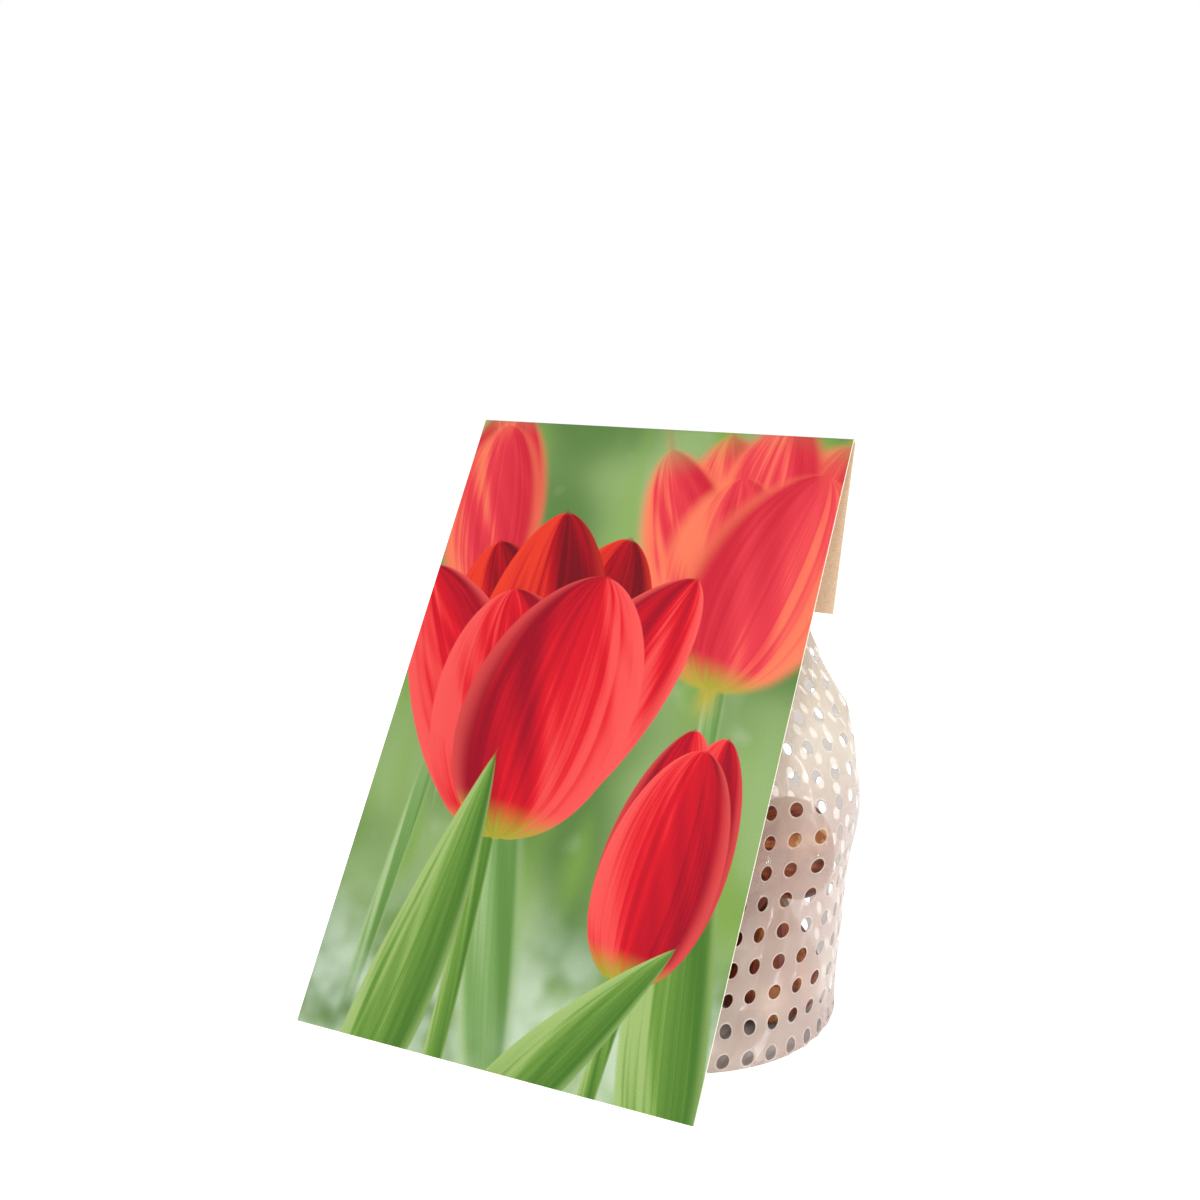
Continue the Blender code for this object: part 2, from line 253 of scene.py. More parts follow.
def ramped(tree, value, low, high, start=0.0, end=1.0):
    """A smooth step from start to end as a value goes from low to high."""
    inputs = {"Value": value, "From Min": low, "From Max": high, "To Min": start, "To Max": end}
    return wire(tree, "ShaderNodeMapRange", inputs, interpolation_type="SMOOTHSTEP").outputs[0]


def noise(tree, vector, scale, detail=3.0, roughness=0.5):
    inputs = {
        "Vector": vector,
        "Scale": scale,
        "Detail": detail,
        "Roughness": roughness,
    }
    return wire(tree, "ShaderNodeTexNoise", inputs).outputs[0]


def own_place(tree):
    """Where a spot lies in the pack, which is also its place on its own piece."""
    return wire(tree, "ShaderNodeTexCoord").outputs["Object"]


def map_place(tree, name):
    return wire(tree, "ShaderNodeUVMap", uv_map=name).outputs[0]


def add_bump(tree, shader, height, strength, distance):
    """Low relief from a height that changes over the piece."""
    bump = wire(tree, "ShaderNodeBump", {"Strength": strength, "Distance": distance, "Height": height})
    tree.links.new(bump.outputs[0], shader.inputs["Normal"])


def new_group(name, inputs, outputs):
    """A shader node group with named sockets, what it is given, and the node that takes its results."""
    group = bpy.data.node_groups.new(name, "ShaderNodeTree")
    for label, kind in inputs.items():
        group.interface.new_socket(label, in_out="INPUT", socket_type="NodeSocket" + kind)
    for label, kind in outputs.items():
        group.interface.new_socket(label, in_out="OUTPUT", socket_type="NodeSocket" + kind)
    return group, group.nodes.new("NodeGroupInput").outputs, group.nodes.new("NodeGroupOutput")


def new_material(name, **values):
    """A material, its node tree and its shader, with the named values set on the shader."""
    material = bpy.data.materials.new(name)
    material.use_nodes = True
    tree = material.node_tree
    shader = tree.nodes["Principled BSDF"]
    set_inputs(tree, shader, {key.replace("_", " "): value for key, value in values.items()})
    return material, tree, shader


def new_object(name, data):
    """An object in the scene, at the origin."""
    thing = bpy.data.objects.new(name, data)
    bpy.context.scene.collection.objects.link(thing)
    return thing


def finished_mesh(name, mesh):
    """A worked mesh as an object's data."""
    data = bpy.data.meshes.new(name)
    mesh.to_mesh(data)
    mesh.free()
    return data


# Petals of the print: the fineness, lean and detail of their streaks, and where each tone starts and ends
STREAK_ROUGHNESS = 0.6
FINE_STREAKS = (8.0, 1.2, 5.0)
BROAD_STREAKS = (1.5, 2.2, 1.0)
NOISE_MIDDLE = 0.5
SIDE_SHADE = 0.5
DEEP_RANGE = (0.15, 1.0)
LIGHT_RANGE = (0.42, 0.0)
LIGHT_SHARE = 0.75
RIM_RANGE = (0.72, 1.0)
FOOT_STREAKS = 1.6
FOOT_COVER = 0.85
PETAL_ENDS = (0.001, 0.999)
BEND_POWER = 2.0
THINNEST = 0.08
SEED_STEP = 3.7
HAIRS_BREADTH = 1e-5


def streaks(tree, across, along, seed, fineness, lean, detail):
    """Fine lines that run along a petal, from one measure across and along it."""
    place = maths(tree, "MULTIPLY_ADD", across, fineness, maths(tree, "MULTIPLY_ADD", along, lean, seed))
    inputs = {"W": place, "Scale": 1.0, "Detail": detail, "Roughness": STREAK_ROUGHNESS}
    return wire(tree, "ShaderNodeTexNoise", inputs, noise_dimensions="1D").outputs[0]


def petal_shape_group():
    """Where a spot on the card lies in one petal: a mask, the share of its length, and how far across.

    The group works in single numbers only, which keeps the many petals of one picture light to draw."""
    numbers = ["X", "Y", "X Across", "Y Across", "Across Start", "X Along", "Y Along", "Along Start"]
    numbers += ["Bend", "Low Power", "High Power", "Fullness", "Blur"]
    results = {"Mask": "Float", "Along": "Float", "Across": "Float"}
    group, given, made = new_group("petal_shape", dict.fromkeys(numbers, "Float"), results)

    def measured(label):
        rest = maths(group, "MULTIPLY_ADD", given["Y"], given["Y " + label], given[label + " Start"])
        return maths(group, "MULTIPLY_ADD", given["X"], given["X " + label], rest)

    free_along = measured("Along")
    along = clamped(group, free_along, *PETAL_ENDS)
    bend = maths(group, "MULTIPLY", given["Bend"], maths(group, "POWER", along, BEND_POWER))
    side = maths(group, "SUBTRACT", measured("Across"), bend)
    low = maths(group, "POWER", along, given["Low Power"])
    high = maths(group, "POWER", maths(group, "SUBTRACT", 1.0, along), given["High Power"])
    width = maths(group, "MULTIPLY", maths(group, "MULTIPLY", low, high), given["Fullness"])
    edge = maths(group, "SUBTRACT", width, maths(group, "ABSOLUTE", side))
    back_blur = maths(group, "MULTIPLY", given["Blur"], -1.0)
    mask = ramped(group, edge, back_blur, given["Blur"])
    for place in (free_along, maths(group, "SUBTRACT", 1.0, free_along)):
        mask = maths(group, "MULTIPLY", mask, ramped(group, place, back_blur, given["Blur"]))
    across = maths(group, "DIVIDE", side, maths(group, "MAXIMUM", width, THINNEST))
    set_inputs(group, made, {"Mask": mask, "Along": along, "Across": clamped(group, across, -1.0, 1.0)})
    return group


def petal_colour_group():
    """A petal's colour: darker towards one side, streaked along it, lit at its rim, paler at its foot."""
    numbers = ["Along", "Across", "Shade Side", "Seed", "Streaks", "Rim", "Foot Length"]
    inputs = dict.fromkeys(numbers, "Float") | dict.fromkeys(["Deep", "Main", "Light", "Foot"], "Color")
    group, given, made = new_group("petal_colour", inputs, {"Color": "Color"})
    along = given["Along"]
    across = given["Across"]
    fine = streaks(group, across, along, given["Seed"], *FINE_STREAKS)
    broad = streaks(group, across, along, given["Seed"], *BROAD_STREAKS)
    turned = maths(group, "MULTIPLY", across, given["Shade Side"])
    shade = maths(group, "MULTIPLY_ADD", turned, SIDE_SHADE, broad)
    streak = maths(group, "SUBTRACT", fine, NOISE_MIDDLE)
    shade = maths(group, "MULTIPLY_ADD", streak, given["Streaks"], shade)
    colour = mixed(group, ramped(group, shade, *DEEP_RANGE), given["Main"], given["Deep"])
    glow = maths(group, "MULTIPLY", ramped(group, shade, *LIGHT_RANGE), LIGHT_SHARE)
    colour = mixed(group, glow, colour, given["Light"])
    rim = ramped(group, maths(group, "ABSOLUTE", across), *RIM_RANGE)
    colour = mixed(group, maths(group, "MULTIPLY", rim, given["Rim"]), colour, given["Light"])
    foot = ramped(group, along, given["Foot Length"], 0.0)
    cover = maths(group, "MULTIPLY_ADD", streak, FOOT_STREAKS, FOOT_COVER)
    foot = maths(group, "MULTIPLY", foot, cover, clamp=True)
    set_inputs(group, made, {"Color": mixed(group, foot, colour, given["Foot"])})
    return group


# Colours of the print, as linear red, green and blue
RED_FRONT = {"Deep": (0.30, 0.0, 0.012, 1), "Main": (0.74, 0.006, 0.018, 1), "Light": (0.86, 0.10, 0.09, 1)}
RED_INSIDE = {"Deep": (0.16, 0.0, 0.006, 1), "Main": (0.50, 0.002, 0.010, 1), "Light": (0.82, 0.05, 0.02, 1)}
RED_SOFT = {"Deep": (0.55, 0.012, 0.03, 1), "Main": (0.76, 0.045, 0.065, 1), "Light": (0.88, 0.22, 0.10, 1)}
GREEN_LEAF = {"Deep": (0.06, 0.17, 0.02, 1), "Main": (0.16, 0.31, 0.05, 1), "Light": (0.38, 0.52, 0.18, 1)}
GREEN_SOFT = {"Deep": (0.11, 0.24, 0.05, 1), "Main": (0.20, 0.36, 0.11, 1), "Light": (0.42, 0.56, 0.28, 1)}
FOOT_GREEN = (0.30, 0.38, 0.03, 1)
FOOT_YELLOW = (0.72, 0.52, 0.04, 1)
FOLIAGE_DARK = (0.10, 0.20, 0.05, 1)
FOLIAGE_LIT = (0.27, 0.40, 0.15, 1)
FOLIAGE_BLADES = (0.20, 0.35, 0.06, 1)
FOLIAGE_PALE = (0.48, 0.58, 0.38, 1)
FOLIAGE_MIST = (0.60, 0.72, 0.56, 1)
FLAP_DARK = (0.14, 0.26, 0.08, 1)
FLAP_LIT = (0.30, 0.42, 0.18, 1)

# How sharp the print is, from the blooms in focus to the ground
SHARP = 0.012
SOFT = 0.16
VERY_SOFT = 0.30

# Petals of a bloom, each by its turn in degrees and its half-width and length in shares of the bloom's size
INNER_PETALS = ((-13, 0.23, 1.0), (14, 0.23, 0.98), (1, 0.24, 1.06))
# The flared ones by their turn and bend, all of one size, and the front ones by their turn, size and bend
FLARED_PETALS = ((24, 0.35), (-25, -0.35))
FLARED_SIZE = (0.20, 0.97)
FRONT_PETALS = ((7, 0.27, 0.80, -0.15), (-9, 0.29, 0.86, 0.12))
# The sides of a bud by their turn, bend and shaded side, and its wrapped front by its turn, size and bend
BUD_SIDES = ((9, 0.4, -1), (-9, -0.4, 1))
BUD_FRONT = (1, 0.25, 0.93, 0.05)
BUD_SIDE_WIDTH = 0.21

# The outline of a broad leaf in front, and how strongly it is streaked
LEAF = {"low": 0.4, "high": 0.9, "streaks": 0.9}

# Foliage behind the blooms, in millimetres: the scale of its patches, mottling and upright blades
PATCH_SCALE = 0.017
MOTTLE_SCALE = 0.045
BLADE_SCALES = (0.05, 0.012, 0.05)
PATCH_RANGE = (0.36, 0.64)
BLADE_RANGE = (0.48, 0.72)
MOTTLE_RANGE = (0.60, 0.85, 0.0, 0.5)
MIST_HEIGHTS = (62.0, 12.0)
MIST_RANGE = (0.30, 0.62)
MIST_SHARE = 0.8

# The print's sheet: its width in millimetres, its grain, the fold above the picture, and its varnish
PRINT_WIDTH = 140
GRAIN_SCALE = 2.4
GRAIN_SHARE = 0.16
FOLD_HEIGHTS = (220.5, 221.5)
FLAP_SCALE = 0.02
TONE_RANGE = (0.3, 0.7)
VARNISH_SCALE = 0.9
VARNISH_RANGE = (0.2, 0.8, 0.28, 0.40)
VARNISH_BUMP = (0.05, 0.2 * MM)
VARNISH = {"Specular_IOR_Level": 0.2, "Coat_Weight": 0.06, "Coat_Roughness": 0.15}

# Bare board: dark and light colours and fineness of fibres, and its flecks
KRAFT = ((0.70, 0.50, 0.33, 1), (0.86, 0.67, 0.48, 1), 900)
PALE_CORE = ((0.80, 0.76, 0.62, 1), (0.92, 0.89, 0.78, 1), 2500)
BOARD_ROUGHNESS = 0.8
FIBRE_STRETCH = 3
FIBRE_BUMP = (0.25, 0.1 * MM)
FLECK_FINENESS = 6
FLECK_RANGE = (0.66, 0.74, 0.0, 0.35)
FLECK_COLOUR = (0.30, 0.20, 0.12, 1)


def fullness(low, high):
    """What makes a petal's widest place one half-width wide."""
    peak = low / (low + high)
    return 1 / (peak**low * (1 - peak) ** high)


class Picture:
    """The card's print, built up from the back by laying petals and leaves over a ground."""

    def __init__(self, tree, x, y, ground):
        self.tree = tree
        self.x = x
        self.y = y
        self.colour = ground
        self.shape = petal_shape_group()
        self.paint = petal_colour_group()
        self.count = 0

    def lay(self, foot, degrees, half_width, length, palette, bend=0.0, low=0.55, high=0.75, blur=SHARP,
            shade=1.0, streaks=0.6, rim=0.5, foot_length=0.14, foot_colour=FOOT_GREEN):
        """One petal or leaf from its foot, in millimetres on the card, turned anticlockwise from upright."""
        self.count += 1
        turn = math.radians(degrees)
        across = Vector((math.cos(turn), math.sin(turn))) / half_width
        along = Vector((-math.sin(turn), math.cos(turn))) / length
        place = {
            "X": self.x,
            "Y": self.y,
            "X Across": across.x,
            "Y Across": across.y,
            "Across Start": -across.dot(Vector(foot)),
            "X Along": along.x,
            "Y Along": along.y,
            "Along Start": -along.dot(Vector(foot)),
            "Bend": bend,
            "Low Power": low,
            "High Power": high,
            "Fullness": fullness(low, high),
            "Blur": blur,
        }
        shape = wire(self.tree, "ShaderNodeGroup", place, node_tree=self.shape)
        look = {
            "Along": shape.outputs["Along"],
            "Across": shape.outputs["Across"],
            "Shade Side": shade,
            "Seed": self.count * SEED_STEP,
            "Streaks": streaks,
            "Rim": rim,
            "Foot Length": foot_length,
            "Foot": foot_colour,
            **palette,
        }
        paint = wire(self.tree, "ShaderNodeGroup", look, node_tree=self.paint)
        self.colour = mixed(self.tree, shape.outputs["Mask"], self.colour, paint.outputs["Color"])
        # The next petal waits for this one by a hair's breadth, or Cycles runs out of room for the picture.
        self.x = maths(self.tree, "MULTIPLY_ADD", self.colour, HAIRS_BREADTH, self.x)

    def stem(self, foot, degrees, half_width, length, bend=0.0, blur=SHARP, palette=GREEN_LEAF):
        self.lay(foot, degrees, half_width, length, palette, bend=bend, low=0.02, high=0.02, blur=blur,
                 shade=0.9, streaks=0.3, rim=0.5, foot_length=0.001)

    def open_bloom(self, foot, degrees, size, blur=SHARP, palette=RED_FRONT, inside=RED_INSIDE):
        """An open cup seen from the side: petals behind, one flared out on each side, and two in front."""
        for turn, wide, tall in INNER_PETALS:
            self.lay(foot, degrees + turn, wide * size, tall * size, inside, blur=blur, high=0.6,
                     streaks=0.8, rim=0.35, foot_length=0.2, foot_colour=FOOT_YELLOW)
        wide, tall = FLARED_SIZE
        for turn, bend in FLARED_PETALS:
            self.lay(foot, degrees + turn, wide * size, tall * size, palette, bend=-bend, blur=blur,
                     high=0.62, shade=math.copysign(1, bend), streaks=0.6, rim=0.7)
        for turn, wide, tall, bend in FRONT_PETALS:
            self.lay(foot, degrees + turn, wide * size, tall * size, palette, bend=bend, blur=blur,
                     low=0.5, high=0.58, shade=math.copysign(1, turn), streaks=0.75, rim=0.55)

    def bud(self, foot, degrees, size, blur=SHARP, palette=RED_FRONT):
        """A closed bloom: two petals at the sides and one wrapped across the front."""
        for turn, bend, shade in BUD_SIDES:
            self.lay(foot, degrees + turn, BUD_SIDE_WIDTH * size, size, palette, bend=bend, blur=blur,
                     low=0.42, high=0.6, shade=shade, streaks=0.6, rim=0.5)
        turn, wide, tall, bend = BUD_FRONT
        self.lay(foot, degrees + turn, wide * size, tall * size, palette, bend=bend, blur=blur, low=0.42,
                 high=0.55, shade=0.8, streaks=0.7, rim=0.6)


def picture_ground(tree, spot):
    """Out-of-focus foliage: broad soft patches of green, paler towards the bottom."""
    broad = noise(tree, spot, PATCH_SCALE, detail=1.0)
    fine = noise(tree, spot, MOTTLE_SCALE, detail=2.0)
    upright = wire(tree, "ShaderNodeMapping", {"Vector": spot, "Scale": BLADE_SCALES}).outputs[0]
    blades = noise(tree, upright, 1.0, detail=1.0)
    colour = mixed(tree, ramped(tree, broad, *PATCH_RANGE), FOLIAGE_DARK, FOLIAGE_LIT)
    colour = mixed(tree, ramped(tree, blades, *BLADE_RANGE), colour, FOLIAGE_BLADES)
    colour = mixed(tree, ramped(tree, fine, *MOTTLE_RANGE), colour, FOLIAGE_PALE)
    below = ramped(tree, parts_of(tree, spot)[1], *MIST_HEIGHTS)
    pale = maths(tree, "MULTIPLY", below, ramped(tree, fine, *MIST_RANGE))
    return mixed(tree, maths(tree, "MULTIPLY", pale, MIST_SHARE), colour, FOLIAGE_MIST)


def paint_picture(tree, spot):
    """An arrangement of tulips and leaves, in millimetres from the panel's bottom left corner.

    Stems and leaves are laid by foot, turn, half-width and length, and blooms by foot, turn and size."""
    split = parts_of(tree, spot)
    picture = Picture(tree, split[0], split[1], picture_ground(tree, spot))
    picture.stem((118, 60), 3, 3.4, 70, blur=VERY_SOFT, palette=GREEN_SOFT)
    picture.open_bloom((112, 128), -5, 92, blur=SOFT, palette=RED_SOFT, inside=RED_SOFT)
    picture.stem((16, 20), -3, 3.0, 66, blur=VERY_SOFT, palette=GREEN_SOFT)
    picture.bud((20, 150), 8, 72, blur=SOFT, palette=RED_SOFT)
    picture.stem((27, 84), 6, 2.6, 76, blur=SOFT, palette=GREEN_SOFT)
    picture.lay((74, -16), 16, 10, 150, GREEN_SOFT, bend=0.9, blur=VERY_SOFT, low=0.4, streaks=0.3)
    picture.lay((132, -20), 12, 14, 128, GREEN_LEAF, bend=1.1, blur=0.05, **LEAF)
    picture.stem((52, -6), 1.5, 3.6, 80, bend=-0.6)
    picture.open_bloom((52, 70), 3, 108)
    picture.stem((105, -8), -3, 3.1, 46, bend=0.5)
    picture.bud((107, 34), -7, 80)
    picture.lay((24, -24), -14, 13, 122, GREEN_LEAF, bend=-0.8, blur=0.03, **LEAF)
    picture.lay((66, -26), -34, 11, 92, GREEN_LEAF, bend=0.5, blur=0.02, **LEAF)
    return picture.colour


def print_material():
    """Varnished print: the picture on the panel, and plain soft green on the flap."""
    material, tree, shader = new_material("glossy_print", **VARNISH)
    length = (CARD_HEIGHT + FLAP_LENGTH) / MM
    size = {"Vector": map_place(tree, "sheet"), "Scale": (PRINT_WIDTH, length, 1)}
    spot = wire(tree, "ShaderNodeMapping", size).outputs[0]
    colour = paint_picture(tree, spot)
    grain = noise(tree, spot, GRAIN_SCALE, detail=2.0)
    colour = mixed(tree, GRAIN_SHARE, colour, combined(tree, grain, grain, grain), "OVERLAY")
    on_flap = ramped(tree, parts_of(tree, spot)[1], *FOLD_HEIGHTS)
    flap_tone = ramped(tree, noise(tree, spot, FLAP_SCALE, detail=1.0), *TONE_RANGE)
    colour = mixed(tree, on_flap, colour, mixed(tree, flap_tone, FLAP_DARK, FLAP_LIT))
    varnish = noise(tree, spot, VARNISH_SCALE)
    look = {"Base Color": colour, "Roughness": ramped(tree, varnish, *VARNISH_RANGE)}
    set_inputs(tree, shader, look)
    add_bump(tree, shader, varnish, *VARNISH_BUMP)
    return material


def board_material(name, dark, light, fineness):
    """Unprinted board, with fibres and flecks."""
    material, tree, shader = new_material(name, Roughness=BOARD_ROUGHNESS)
    place = own_place(tree)
    lying = (fineness, FIBRE_STRETCH * fineness, FIBRE_STRETCH * fineness)
    stretched = wire(tree, "ShaderNodeMapping", {"Vector": place, "Scale": lying}).outputs[0]
    fibres = noise(tree, stretched, 1.0, detail=6.0, roughness=0.7)
    colour = mixed(tree, ramped(tree, fibres, *TONE_RANGE), dark, light)
    flecks = noise(tree, place, FLECK_FINENESS * fineness, detail=2.0)
    colour = mixed(tree, ramped(tree, flecks, *FLECK_RANGE), colour, FLECK_COLOUR)
    tree.links.new(colour, shader.inputs["Base Color"])
    add_bump(tree, shader, fibres, *FIBRE_BUMP)
    return material


def card_line():
    """The board's middle line with the length along it, from the bottom edge to the flap's end."""
    low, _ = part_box("header_card")
    out = Vector((0, math.cos(CARD_LEAN), -math.sin(CARD_LEAN)))
    up = Vector((0, math.sin(CARD_LEAN), math.cos(CARD_LEAN)))
    start = Vector((0, low.y, low.z)) + Vector((0, out.y, -out.z)) * (CAD_BOARD / 2)
    points = []
    straight = CARD_HEIGHT - FOLD_RADIUS
    for row in range(PANEL_ROWS):
        length = straight * row / PANEL_ROWS
        points.append((start + up * length, out, length))
    middle = start + up * straight + out * FOLD_RADIUS
    turn = math.pi + FLAP_LEAN - CARD_LEAN
    for step in range(FOLD_STEPS + 1):
        heading = CARD_LEAN + turn * step / FOLD_STEPS
        side = Vector((0, math.cos(heading), -math.sin(heading)))
        points.append((middle - side * FOLD_RADIUS, side, straight + FOLD_RADIUS * turn * step / FOLD_STEPS))
    end, side, length = points[-1]
    down = Vector((0, -math.sin(FLAP_LEAN), -math.cos(FLAP_LEAN)))
    for row in range(1, FLAP_ROWS + 1):
        share = FLAP_LENGTH * row / FLAP_ROWS
        points.append((end + down * share, side, length + share))
    return points


def card_skins(mesh, line, low, high):
    """The board's outer and inner faces, and the rows of corners that they stand on."""
    rows = [[], []]
    for place, inward, _ in line:
        for skin, sign in enumerate((-1, 1)):
            point = place + inward * (sign * BOARD / 2)
            row = []
            for column in range(CARD_COLUMNS + 1):
                x = low.x + (high.x - low.x) * column / CARD_COLUMNS
                row.append(mesh.verts.new((x, point.y, point.z)))
            rows[skin].append(row)
    for skin in (OUTSIDE, INSIDE):
        for a, b in zip(rows[skin], rows[skin][1:]):
            for column in range(CARD_COLUMNS):
                ring = [a[column], a[column + 1], b[column + 1], b[column]]
                face = mesh.faces.new(ring if skin == OUTSIDE else ring[::-1])
                face.material_index = skin
                face.smooth = True
    return rows


def card_cut_edges(mesh, outer, inner):
    """The narrow faces all round the board, where it was cut."""
    last = CARD_COLUMNS
    rings = []
    for index in range(len(outer) - 1):
        after = index + 1
        rings.append((outer[index][0], outer[after][0], inner[after][0], inner[index][0]))
        rings.append((inner[index][last], inner[after][last], outer[after][last], outer[index][last]))
    for column in range(CARD_COLUMNS):
        after = column + 1
        rings.append((outer[0][after], outer[0][column], inner[0][column], inner[0][after]))
        rings.append((inner[-1][after], inner[-1][column], outer[-1][column], outer[-1][after]))
    for ring in rings:
        mesh.faces.new(ring).material_index = CUT


def map_card(mesh, sheet, rows, line, low, high):
    """The board's own map: across it, and along it from the bottom edge."""
    total = line[-1][2]
    lengths = {}
    for skin_rows in rows:
        for row, (_, _, length) in zip(skin_rows, line):
            for vertex in row:
                lengths[vertex] = length / total
    for face in mesh.faces:
        for loop in face.loops:
            x = (loop.vert.co.x - low.x) / (high.x - low.x)
            loop[sheet].uv = (x, lengths[loop.vert])


def make_card():
    """The folded board: print outside, bare board inside, and its pale core at the cut edges."""
    low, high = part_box("header_card")
    line = card_line()
    mesh = bmesh.new()
    sheet = mesh.loops.layers.uv.new("sheet")
    rows = card_skins(mesh, line, low, high)
    card_cut_edges(mesh, *rows)
    map_card(mesh, sheet, rows, line, low, high)
    bmesh.ops.recalc_face_normals(mesh, faces=mesh.faces)
    for edge in mesh.edges:
        kinds = {face.material_index for face in edge.link_faces}
        edge.smooth = len(kinds) == 1
    card = new_object("picture_card", finished_mesh("picture_card", mesh))
    card.data.materials.append(print_material())
    card.data.materials.append(board_material("bare_board", *KRAFT))
    card.data.materials.append(board_material("board_core", *PALE_CORE))
    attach(card, "root")
    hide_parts("header_card")


def smooth_through(points, places):
    """Values at many places on a smooth line through (place, value) points, with no overshoot."""
    knots, values = np.array(points, float).T
    slopes = np.diff(values) / np.diff(knots)
    product = slopes[:-1] * slopes[1:]
    total = np.where(product > 0, slopes[:-1] + slopes[1:], 1.0)
    inner = np.where(product > 0, 2 * product / total, 0.0)
    tangents = np.concatenate([slopes[:1], inner, slopes[-1:]])
    index = np.clip(np.searchsorted(knots, places, side="left") - 1, 0, len(slopes) - 1)
    span = knots[index + 1] - knots[index]
    t = (places - knots[index]) / span
    value = (2 * t**3 - 3 * t**2 + 1) * values[index] + (3 * t**2 - 2 * t**3) * values[index + 1]
    value += (t**3 - 2 * t**2 + t) * span * tangents[index]
    return value + (t**3 - t**2) * span * tangents[index + 1]


def card_back(heights):
    """How far back the panel's hidden face lies at each height."""
    return heights * math.tan(CARD_LEAN) + CAD_BOARD / math.cos(CARD_LEAN)


def neck_back(heights):
    """How far back the neck lies, just in front of the flap."""
    end = card_line()[-1][0]
    middle = end.y - ROW_SHIFT + (heights - end.z) * math.tan(FLAP_LEAN)
    return middle - CAD_BOARD / 2 / math.cos(FLAP_LEAN) - CLEARANCE


def bag_front(heights):
    """Where the bag's front lies at each height: close behind the card, and in the neck close to the flap."""
    neck = neck_back(heights) - NECK_DEPTH
    neck_gap = float(neck_back(NECK_BOTTOM)) - NECK_DEPTH - card_back(NECK_BOTTOM)
    gaps = FRONT_GAPS + [(NECK_BOTTOM / MM, neck_gap / MM)]
    below = card_back(heights) + smooth_through(gaps, heights / MM) * MM
    return np.where(heights >= NECK_BOTTOM, neck, below)


def bag_back(heights):
    neck_start = float(neck_back(NECK_BOTTOM))
    below = smooth_through(BACKS + [(NECK_BOTTOM / MM, neck_start / MM)], heights / MM) * MM
    return np.where(heights >= NECK_BOTTOM, neck_back(heights), below)


def bag_half_width(heights):
    return smooth_through(HALF_WIDTHS, heights / MM) * MM


def bag_section(height, turns):
    """Points of one level section at shares of the way round it, from its right-hand tip."""
    level = min(max(height, 0.0), NECK_TOP)
    drop = max(0.0, BASE_EDGE - level)
    inset = BASE_EDGE - math.sqrt(BASE_EDGE**2 - drop**2)
    front = float(bag_front(np.array(level))) + inset
    back = float(bag_back(np.array(level))) - inset
    half = float(bag_half_width(np.array(level))) - inset
    angle = np.linspace(0, math.tau, RING_SAMPLES + 1)
    power = 2 / BAG_SQUARENESS
    x = half * np.sign(np.cos(angle)) * np.abs(np.cos(angle)) ** power
    y = (back - front) / 2 * np.sign(np.sin(angle)) * np.abs(np.sin(angle)) ** power
    lengths = np.concatenate([[0], np.cumsum(np.hypot(np.diff(x), np.diff(y)))])
    wanted = (turns % 1.0) * lengths[-1]
    x = np.interp(wanted, lengths, x)
    y = np.interp(wanted, lengths, y) + (front + back) / 2 + ROW_SHIFT
    return np.stack([x, y, np.full_like(x, height + FLOOR_GAP)], axis=1)


def triangle_wave(place):
    """Straight slopes up and down between -1 and 1, with a crease at every turn."""
    return 4 * np.abs(place - np.floor(place) - 0.5) - 1


def round_wave(around, draw, waves):
    """A wave that closes on itself after one turn of the bag."""
    return np.sin(around * round(draw.uniform(*waves)) * math.tau / FILM_TURN + draw.uniform(*PHASES))


def upright_wave(up, draw, reach):
    return np.sin(up / reach * math.tau + draw.uniform(*PHASES))


def creases(around, up, draw, spacing, heading, spread):
    """A layer of straight folds whose spacing and heading wander a little over the film."""
    total = np.zeros_like(around)
    for _ in range(FOLD_LAYERS):
        lean = heading + draw.uniform(-spread, spread)
        pitch = spacing * draw.uniform(*SPACING_RANGE)
        place = (around * math.cos(lean) + up * math.sin(lean)) / pitch
        for _ in range(FOLD_SWAYS):
            reach = draw.uniform(*SWAY_REACH)
            sway = round_wave(around, draw, SWAY_WAVES)
            place = place + SWAY_DEPTH * sway * upright_wave(up, draw, reach)
        patch = round_wave(around, draw, PATCH_WAVES)
        patch = patch * upright_wave(up, draw, draw.uniform(*PATCH_REACH))
        folds = triangle_wave(place + draw.uniform(0, 1))
        total = total + folds * np.clip(PATCH_MIDDLE + patch, *PATCH_LIMITS)
    return total / FOLD_LAYERS


def eased(values, low, high):
    t = np.clip((values - low) / (high - low), 0, 1)
    return t * t * (3 - 2 * t)


def blended_round(field):
    """Each value mixed with its neighbours round the piece, with no seam."""
    return (np.roll(field, 1, 0) + 2 * field + np.roll(field, -1, 0)) / 4


def blended_along(field):
    """Each value mixed with its neighbours along the piece."""
    padded = np.pad(field, ((0, 0), (1, 1)), mode="edge")
    return (padded[:, :-2] + 2 * padded[:, 1:-1] + padded[:, 2:]) / 4


def outward_normals(points):
    around = np.roll(points, -1, 0) - np.roll(points, 1, 0)
    up = np.gradient(points, axis=1)
    normals = np.cross(around, up)
    return normals / np.linalg.norm(normals, axis=2, keepdims=True)


def room_inside(points, normals, heap):
    """How far the film can move in at each point before it meets a bulb."""
    room = np.full(points.shape[:2], DEEPEST_PULL)
    for column in range(points.shape[0]):
        for row in range(points.shape[1]):
            start = Vector(points[column, row])
            hit = heap.ray_cast(start, Vector(-normals[column, row]), DEEPEST_PULL)
            near = heap.find_nearest(start, DEEPEST_PULL)
            if hit[3] is not None:
                room[column, row] = hit[3]
            if near[3] is not None:
                room[column, row] = min(room[column, row], near[3])
    return np.maximum(room - BULB_GAP, 0)


